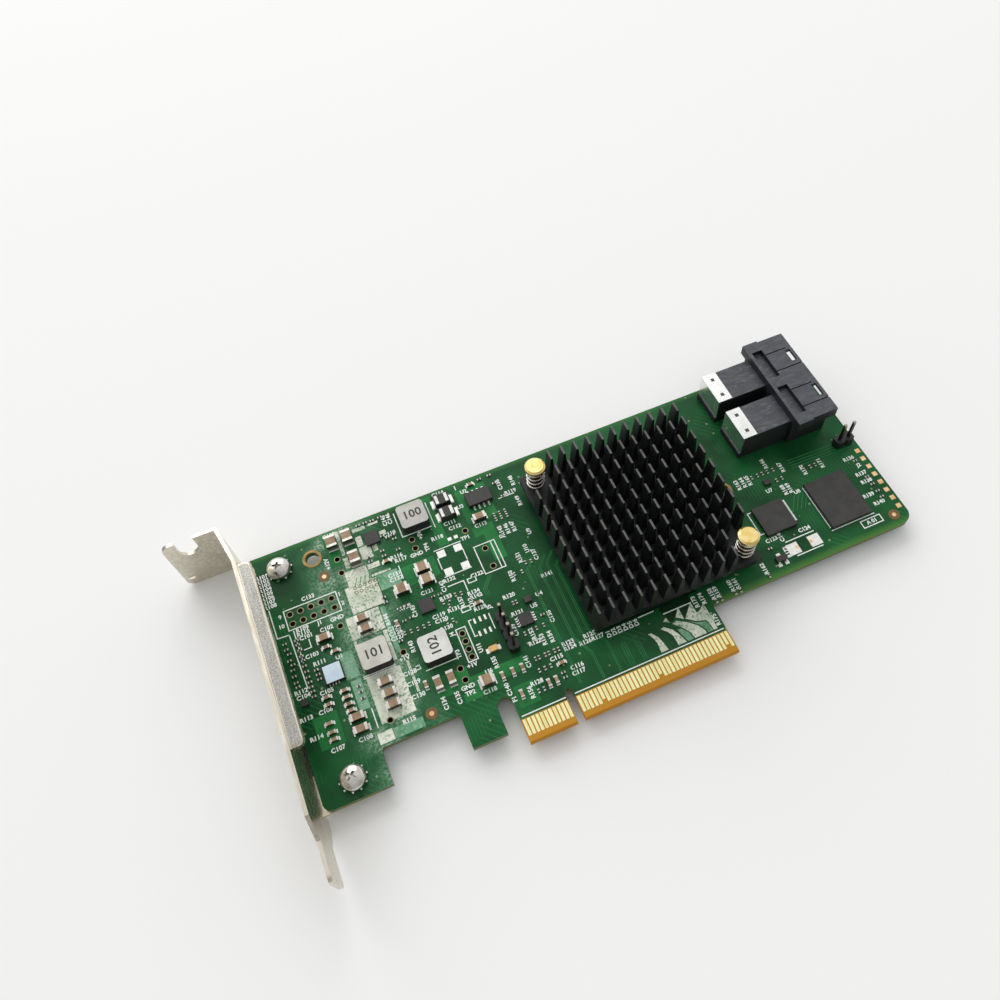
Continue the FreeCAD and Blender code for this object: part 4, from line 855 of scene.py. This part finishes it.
pin_middles = {}
head_thick = 1.2 * MM
for pin in ("rear_push_pin", "front_push_pin"):
    low_corner, high_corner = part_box(pin)
    pin_middles[pin] = [(low_corner[axis] + high_corner[axis]) / 2 for axis in range(3)]
    dress(turned_brass(f"{pin}_brass", pin_middles[pin], high_corner[2] - head_thick), pin)


# Push-pin springs: round steel wire wound round each pin. Each is pressed between the sink's base
# and the pin's head, and so pulls the sink down on its chip.
wire_radius = 0.24
coil_radius = 2.1
coil_turns = 4.0
wire_sides = 10
steps_per_turn = 26
spring_steel = surface(
    "spring_steel", (0.46, 0.44, 0.39), (0.68, 0.66, 0.60), 700.0, (0.16, 0.30), 2400.0, 0.00002, 0.95)[0]
for pin, pin_middle in pin_middles.items():
    spring = f"{pin}_spring"
    spring_low, spring_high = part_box(spring)
    bpy.ops.object.select_all(action="DESELECT")
    bpy.ops.mesh.primitive_circle_add(vertices=wire_sides, radius=wire_radius * MM, location=(0, 0, 0))
    coil = bpy.context.object
    coil.name = f"{spring}_coil"
    bpy.ops.object.mode_set(mode="EDIT")
    bpy.ops.mesh.select_all(action="SELECT")
    bpy.ops.transform.rotate(value=math.pi / 2, orient_axis="X", center_override=(0, 0, 0))
    bpy.ops.transform.translate(value=(coil_radius * MM, 0, 0))
    bpy.ops.object.mode_set(mode="OBJECT")
    winding = coil.modifiers.new("winding", "SCREW")
    winding.angle = math.tau * coil_turns
    winding.screw_offset = spring_high[2] - spring_low[2] - 2 * wire_radius * MM
    winding.steps = int(coil_turns * steps_per_turn)
    winding.render_steps = winding.steps
    winding.use_smooth_shade = True
    bpy.ops.object.modifier_apply(modifier="winding")
    bpy.ops.object.mode_set(mode="EDIT")
    bpy.ops.mesh.select_all(action="SELECT")
    bpy.ops.mesh.fill_holes(sides=0)
    bpy.ops.mesh.select_all(action="SELECT")
    bpy.ops.mesh.normals_make_consistent(inside=False)
    bpy.ops.transform.translate(value=(pin_middle[0], pin_middle[1], spring_low[2] + wire_radius * MM))
    bpy.ops.object.mode_set(mode="OBJECT")
    settle(coil, spring_steel)
    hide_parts(spring)


# Double port: a glass-filled black moulding that shields two plug mouths. The two contact blocks
# behind it are separate mouldings in the same plastic, with the spring contacts let into them.
# painted shade: faces that do not look up are drawn in a darker tone
def paint_side_shade(tree, shader, tone, shade_tone, start, end):
    upward = ramp(tree, facing(tree, "Z"), start, end)
    tree.links.new(blend_colour(tree, upward, shade_tone, tone), shader.inputs["Base Color"])


port_black, tree, shader, tone = surface(
    "port_black", (0.042, 0.045, 0.055), (0.060, 0.064, 0.076), 350.0, (0.42, 0.60), 1800.0, 0.00004)
flow = knit(tree, "ShaderNodeMapping", {"Vector": own_place(tree), "Scale": (500.0, 1700.0, 900.0)})
fibres = ramp(tree, cloud(tree, 1.0, 5.0, flow.outputs[0]), 0.52, 0.70, 0.0, 0.55)
tone = blend_colour(tree, fibres, tone, (0.150, 0.155, 0.170))
# painted shade: the sides of the port and contact blocks are drawn near black
paint_side_shade(tree, shader, tone, (0.013, 0.014, 0.016), 0.4, 0.8)
dress(port_black, "double_port_housing", "upper_contact_wafer_block", "lower_contact_wafer_block")
contact_alloy = surface(
    "contact_alloy", (0.70, 0.54, 0.22), (0.86, 0.70, 0.36), 900.0, (0.22, 0.38), 2500.0, 0.00001, 0.9)[0]
dress(contact_alloy, "port_contacts")


# Wafer clips: bright stainless strip folded over the rear edge of each contact block and held on
# two small pegs.
clip_metal = surface(
    "clip_metal", (0.80, 0.80, 0.78), (0.92, 0.92, 0.90), 260.0, (0.14, 0.24), 1600.0, 0.00001, 0.95)[0]
dress(clip_metal, "upper_wafer_clip", "lower_wafer_clip")


# Pin headers: black moulded bases with square pins pushed through them into the board. The pins
# are drawn dark as painted shade, with a painted highlight at their tips.
header_black = surface(
    "header_black", (0.007, 0.007, 0.007), (0.014, 0.014, 0.013), 500.0, (0.40, 0.58), 2000.0, 0.00003)[0]
dress(header_black, "four_pin_header_base", "two_pin_header_base")
header_pin_metal, tree, shader, tone = surface(
    "header_pin_metal", (0.030, 0.028, 0.024), (0.060, 0.056, 0.048), 700.0, (0.26, 0.42), 2200.0, 0.00002,
    0.8)
pin_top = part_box("four_pin_header_pins")[1][2]
# painted highlight: a pale band near the tip of each pin
tip_highlight = ramp(tree, place_on(tree, "Z"), pin_top - 0.0009, pin_top - 0.0003)
tree.links.new(blend_colour(tree, tip_highlight, tone, (0.40, 0.36, 0.26)), shader.inputs["Base Color"])
dress(header_pin_metal, "four_pin_header_pins", "two_pin_header_pins")


# Power inductors: pressed iron-powder blocks, pale on top, with painted shade down the sides, each
# with its value printed on it in dark ink.
coils = ("upper_power_inductor", "left_power_inductor", "right_power_inductor")
for coil_name, dark, light in zip(coils, ((0.47, 0.46, 0.42), (0.50, 0.49, 0.43), (0.60, 0.60, 0.56)),
                                  ((0.58, 0.57, 0.52), (0.63, 0.62, 0.55), (0.74, 0.74, 0.70))):
    inductor_grey, tree, shader, tone = surface(
        f"{coil_name}_grey", dark, light, 420.0, (0.55, 0.75), 1800.0, 0.00006)
    # painted shade: the sides are drawn near black
    paint_side_shade(tree, shader, tone, (0.022, 0.020, 0.018), 0.4, 0.8)
    dress(inductor_grey, coil_name)
value_ink = surface(
    "value_ink", (0.030, 0.028, 0.026), (0.060, 0.056, 0.050), 900.0, (0.6, 0.8), 2500.0, 0.00001)[0]
value_size = 3.2
values = []
for coil_name, words, turned in zip(coils, ("100", "101", "102"), (False, False, True)):
    low_corner, high_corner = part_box(coil_name)
    along = (low_corner[0] + high_corner[0]) / 2 / MM + KEY_PLACE
    up = (low_corner[1] + high_corner[1]) / 2 / MM
    values.append(print_text(words, along, up, turned, value_size, high_corner[2] / MM))
settle(gather(values, "inductor_values"), value_ink)


# Moulded chips: black filled epoxy with a fine matt grain, pressed round a metal frame. They are
# soldered to the board by bright tinned leads.
chip_black = surface(
    "chip_black", (0.020, 0.019, 0.016), (0.030, 0.029, 0.025), 500.0, (0.46, 0.62), 2600.0, 0.00003)[0]
dress(chip_black, "memory_chip", "logic_chip", "upper_regulator_chip", "lower_regulator_chip",
      "eight_lead_chip", "sensor_chip", "upper_rectifier", "lower_rectifier", "transistor",
      "middle_small_chip", "right_small_chip", "left_small_chip")
lead_tin = surface(
    "lead_tin", (0.66, 0.65, 0.62), (0.82, 0.81, 0.78), 900.0, (0.24, 0.40), 2600.0, 0.00002, 0.9)[0]
dress(lead_tin, "eight_lead_chip_feet", "sensor_chip_feet", "transistor_feet", "rectifier_terminals")


# Rectifier marks: two white bars printed across the top of each rectifier show which way it passes
# current.
bar_half = 0.375
bar_apart = 1.25
bar_margin = 0.25
rectifier_bars = open_mesh("rectifier_bars")
for rectifier in ("upper_rectifier", "lower_rectifier"):
    low_corner, high_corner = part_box(rectifier)
    middle = (low_corner[0] + high_corner[0]) / 2 / MM + KEY_PLACE
    for side in (-1, 1):
        bar_place = middle + bar_apart * side
        add_plate(bar_place - bar_half, low_corner[1] / MM + bar_margin, bar_place + bar_half,
                  high_corner[1] / MM - bar_margin, high_corner[2] / MM)
close_mesh(rectifier_bars, print_rise, print_white)


# Power stage: a bare polished die face with a blue sheen, set in a black rim and soldered flat to
# the board.
stage_mirror, tree, shader, tone = surface(
    "stage_mirror", (0.54, 0.66, 0.76), (0.64, 0.76, 0.85), 300.0, (0.16, 0.28), 1600.0, 0.00001, 0.25)
stage_low, stage_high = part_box("power_stage_chip")
die_half = {"X": 1.98 * MM, "Y": 2.1 * MM}
die_blur = 0.05 * MM
die_face = ramp(tree, place_on(tree, "Z"), stage_high[2] - 0.00006, stage_high[2] - 0.00002)
for axis, number in (("X", 0), ("Y", 1)):
    stage_middle = (stage_low[number] + stage_high[number]) / 2
    away = distance_from(tree, axis, stage_middle)
    die_face = both(tree, die_face, ramp(tree, away, die_half[axis] + die_blur, die_half[axis]))
tree.links.new(blend_colour(tree, die_face, (0.020, 0.020, 0.022), tone), shader.inputs["Base Color"])
dress(stage_mirror, "power_stage_chip")


# Chip capacitors: brown fired ceramic with a tinned cap over each end. Each end sits on a pad, and
# the solder stands out beyond it as a bright bar.
capacitor_brown, tree, shader, tone = surface(
    "capacitor_brown", (0.25, 0.155, 0.085), (0.37, 0.25, 0.145), 600.0, (0.34, 0.50), 2200.0, 0.00003)
# painted shade: the sides of the bodies are drawn near black
paint_side_shade(tree, shader, tone, (0.030, 0.020, 0.013), 0.3, 0.7)
dress(capacitor_brown, "large_capacitor_bodies", "medium_capacitor_bodies", "small_capacitor_bodies")
capacitor_end, tree, shader, tone = surface(
    "capacitor_end", (0.50, 0.48, 0.43), (0.70, 0.68, 0.62), 700.0, (0.26, 0.42), 2200.0, 0.00004, 0.95)
# painted shade: the sides of the ends are drawn darker
paint_side_shade(tree, shader, tone, (0.20, 0.19, 0.17), 0.3, 0.7)
dress(capacitor_end, "large_capacitor_ends", "medium_capacitor_ends", "small_capacitor_ends")

solder_out = 0.38
solder_in = 0.3
solder_rise = 0.09
capacitor_places = [
    (3.2, 2.5, True, [(37.8, 49.2), (37.8, 45.8), (31.5, 45.8), (41.6, 16.75)]),
    (3.2, 2.5, False, [(19.75, 64.9), (23.75, 64.9), (23.75, 58.6)]),
    (3.2, 1.7, True, [(11.1, 41.8), (20.65, 42.8), (20.65, 40.0), (20.75, 26.0), (20.75, 23.1),
                      (20.75, 20.3), (12.5, 20.8), (12.5, 17.9), (55.5, 56.7)]),
    (3.2, 1.7, False, [(31.4, 20.7), (34.5, 20.7)]),
    (1.7, 0.85, True, [(11.7, 27.9), (11.7, 26.2), (11.7, 24.5), (11.7, 22.9), (7.5, 28.0), (7.5, 26.2),
                       (6.4, 22.0), (6.4, 19.9), (6.4, 18.2), (10.8, 39.5), (12.5, 37.8), (30.6, 54.8),
                       (58.5, 13.9), (56.8, 66.7), (46.75, 35.4)]),
    (1.7, 0.85, False, [(45.2, 16.5), (47.7, 16.5), (50.0, 16.5), (28.75, 21.6), (54.05, 10.7),
                        (55.85, 10.7), (27.6, 38.2), (47.5, 10.9)]),
]
solder_bars = open_mesh("solder_bars")
for length, width, runs_across, places in capacitor_places:
    for along, up in places:
        for side in (-1, 1):
            reach = side * (length / 2 + (solder_out - solder_in) / 2)
            long_half = (solder_out + solder_in) / 2
            if runs_across:
                add_pad(along + reach, up, long_half, width / 2)
            else:
                add_pad(along, up + reach, width / 2, long_half)
close_mesh(solder_bars, solder_rise, tin_bright)


# Smallest chip parts: ceramic resistors and capacitors one millimetre long, soldered across two tin
# ends. They crowd round the chips and by the bracket.
chip_length = 1.0
chip_width = 0.5
chip_height = 0.34
chip_end = 0.27
end_proud = 0.02
chips_across = [
    (2.2, 44.2), (2.2, 42.7), (2.6, 41.4), (2.2, 39.8), (2.7, 38.6), (2.3, 37.3), (2.2, 35.7), (2.2, 34.1),
    (2.3, 33.0), (5.0, 44.0), (5.0, 42.8), (5.1, 41.4), (5.0, 39.8), (5.1, 38.6), (5.0, 37.2), (5.1, 35.7),
    (5.0, 34.3), (5.1, 33.0), (5.0, 31.8), (5.1, 30.6), (5.0, 29.4), (7.3, 34.0), (7.3, 32.8), (7.2, 35.2),
    (27.2, 67.3), (29.0, 67.3), (30.8, 67.2), (32.8, 67.3), (31.8, 61.9), (32.9, 61.0), (34.2, 61.2),
    (34.3, 60.0), (30.5, 58.0), (30.5, 56.5), (34.2, 56.8), (27.0, 57.6), (27.0, 56.4), (29.3, 41.8),
    (31.1, 41.8), (37.6, 41.4), (39.3, 41.3), (31.2, 38.5), (29.4, 38.3), (59.5, 67.3), (62.2, 67.4),
    (63.2, 60.3), (57.9, 11.7), (57.9, 10.5), (59.3, 26.5), (62.6, 64.6), (148.4, 32.4), (148.4, 27.2),
    (148.4, 24.8), (148.4, 22.6), (148.4, 20.8), (115.9, 19.6), (26.9, 46.0), (26.9, 44.6), (27.0, 33.9),
    (14.9, 27.6), (14.9, 26.2), (14.9, 24.6), (9.4, 30.4), (10.8, 30.3),
]
chips_upright = [
    (53.5, 17.2), (54.4, 17.2), (55.9, 17.2), (56.8, 17.2), (58.2, 17.2), (59.2, 17.2), (53.2, 14.3),
    (54.6, 14.3), (56.0, 14.3), (51.2, 10.0), (52.5, 10.0), (54.2, 32.0), (55.0, 32.0), (56.7, 24.0),
    (58.5, 24.0), (53.7, 23.8), (28.5, 35.3), (30.0, 35.2), (31.6, 35.1), (33.1, 35.1), (34.4, 35.2),
    (39.3, 38.9), (40.8, 39.1), (40.3, 37.5), (57.4, 38.8), (59.3, 38.7), (59.1, 56.0), (60.5, 56.0),
    (62.0, 56.0), (59.1, 54.6), (60.5, 54.6), (62.0, 54.6), (61.0, 40.6), (62.4, 40.4), (59.6, 42.4),
    (122.2, 38.8), (123.8, 38.8), (125.2, 38.8), (126.6, 38.7), (128.2, 38.7), (127.4, 35.6),
    (129.0, 35.6), (137.2, 35.6), (138.6, 35.6), (42.6, 39.6), (44.0, 39.4), (38.4, 33.9), (39.8, 33.8),
    (97.5, 12.9), (98.9, 12.9), (102.6, 12.9), (104.0, 12.9), (112.0, 13.4),
]
chip_places = [(place, True) for place in chips_across] + [(place, False) for place in chips_upright]
body_half = chip_length / 2 - chip_end
small_bodies = open_mesh("smallest_chip_bodies")
for (along, up), runs_across in chip_places:
    if runs_across:
        add_pad(along, up, body_half, chip_width / 2)
    else:
        add_pad(along, up, chip_width / 2, body_half)
close_mesh(small_bodies, chip_height, chip_black)
small_ends = open_mesh("smallest_chip_ends")
for (along, up), runs_across in chip_places:
    for side in (-1, 1):
        reach = side * (chip_length / 2 - chip_end / 2)
        if runs_across:
            add_pad(along + reach, up, chip_end / 2, chip_width / 2)
        else:
            add_pad(along, up + reach, chip_width / 2, chip_end / 2)
tin_dull = surface(
    "tin_dull", (0.40, 0.39, 0.34), (0.68, 0.66, 0.60), 1500.0, (0.34, 0.52), 3000.0, 0.00003, 0.4)[0]
close_mesh(small_ends, chip_height + end_proud, tin_dull)


# Indicator: a pale amber lens moulded on a small carrier, which is soldered to the board by its
# two ends.
indicator_amber = surface(
    "indicator_amber", (0.66, 0.36, 0.10), (0.80, 0.48, 0.17), 800.0, (0.25, 0.4), 2400.0, 0.00002)[0]
dress(indicator_amber, "amber_indicator")
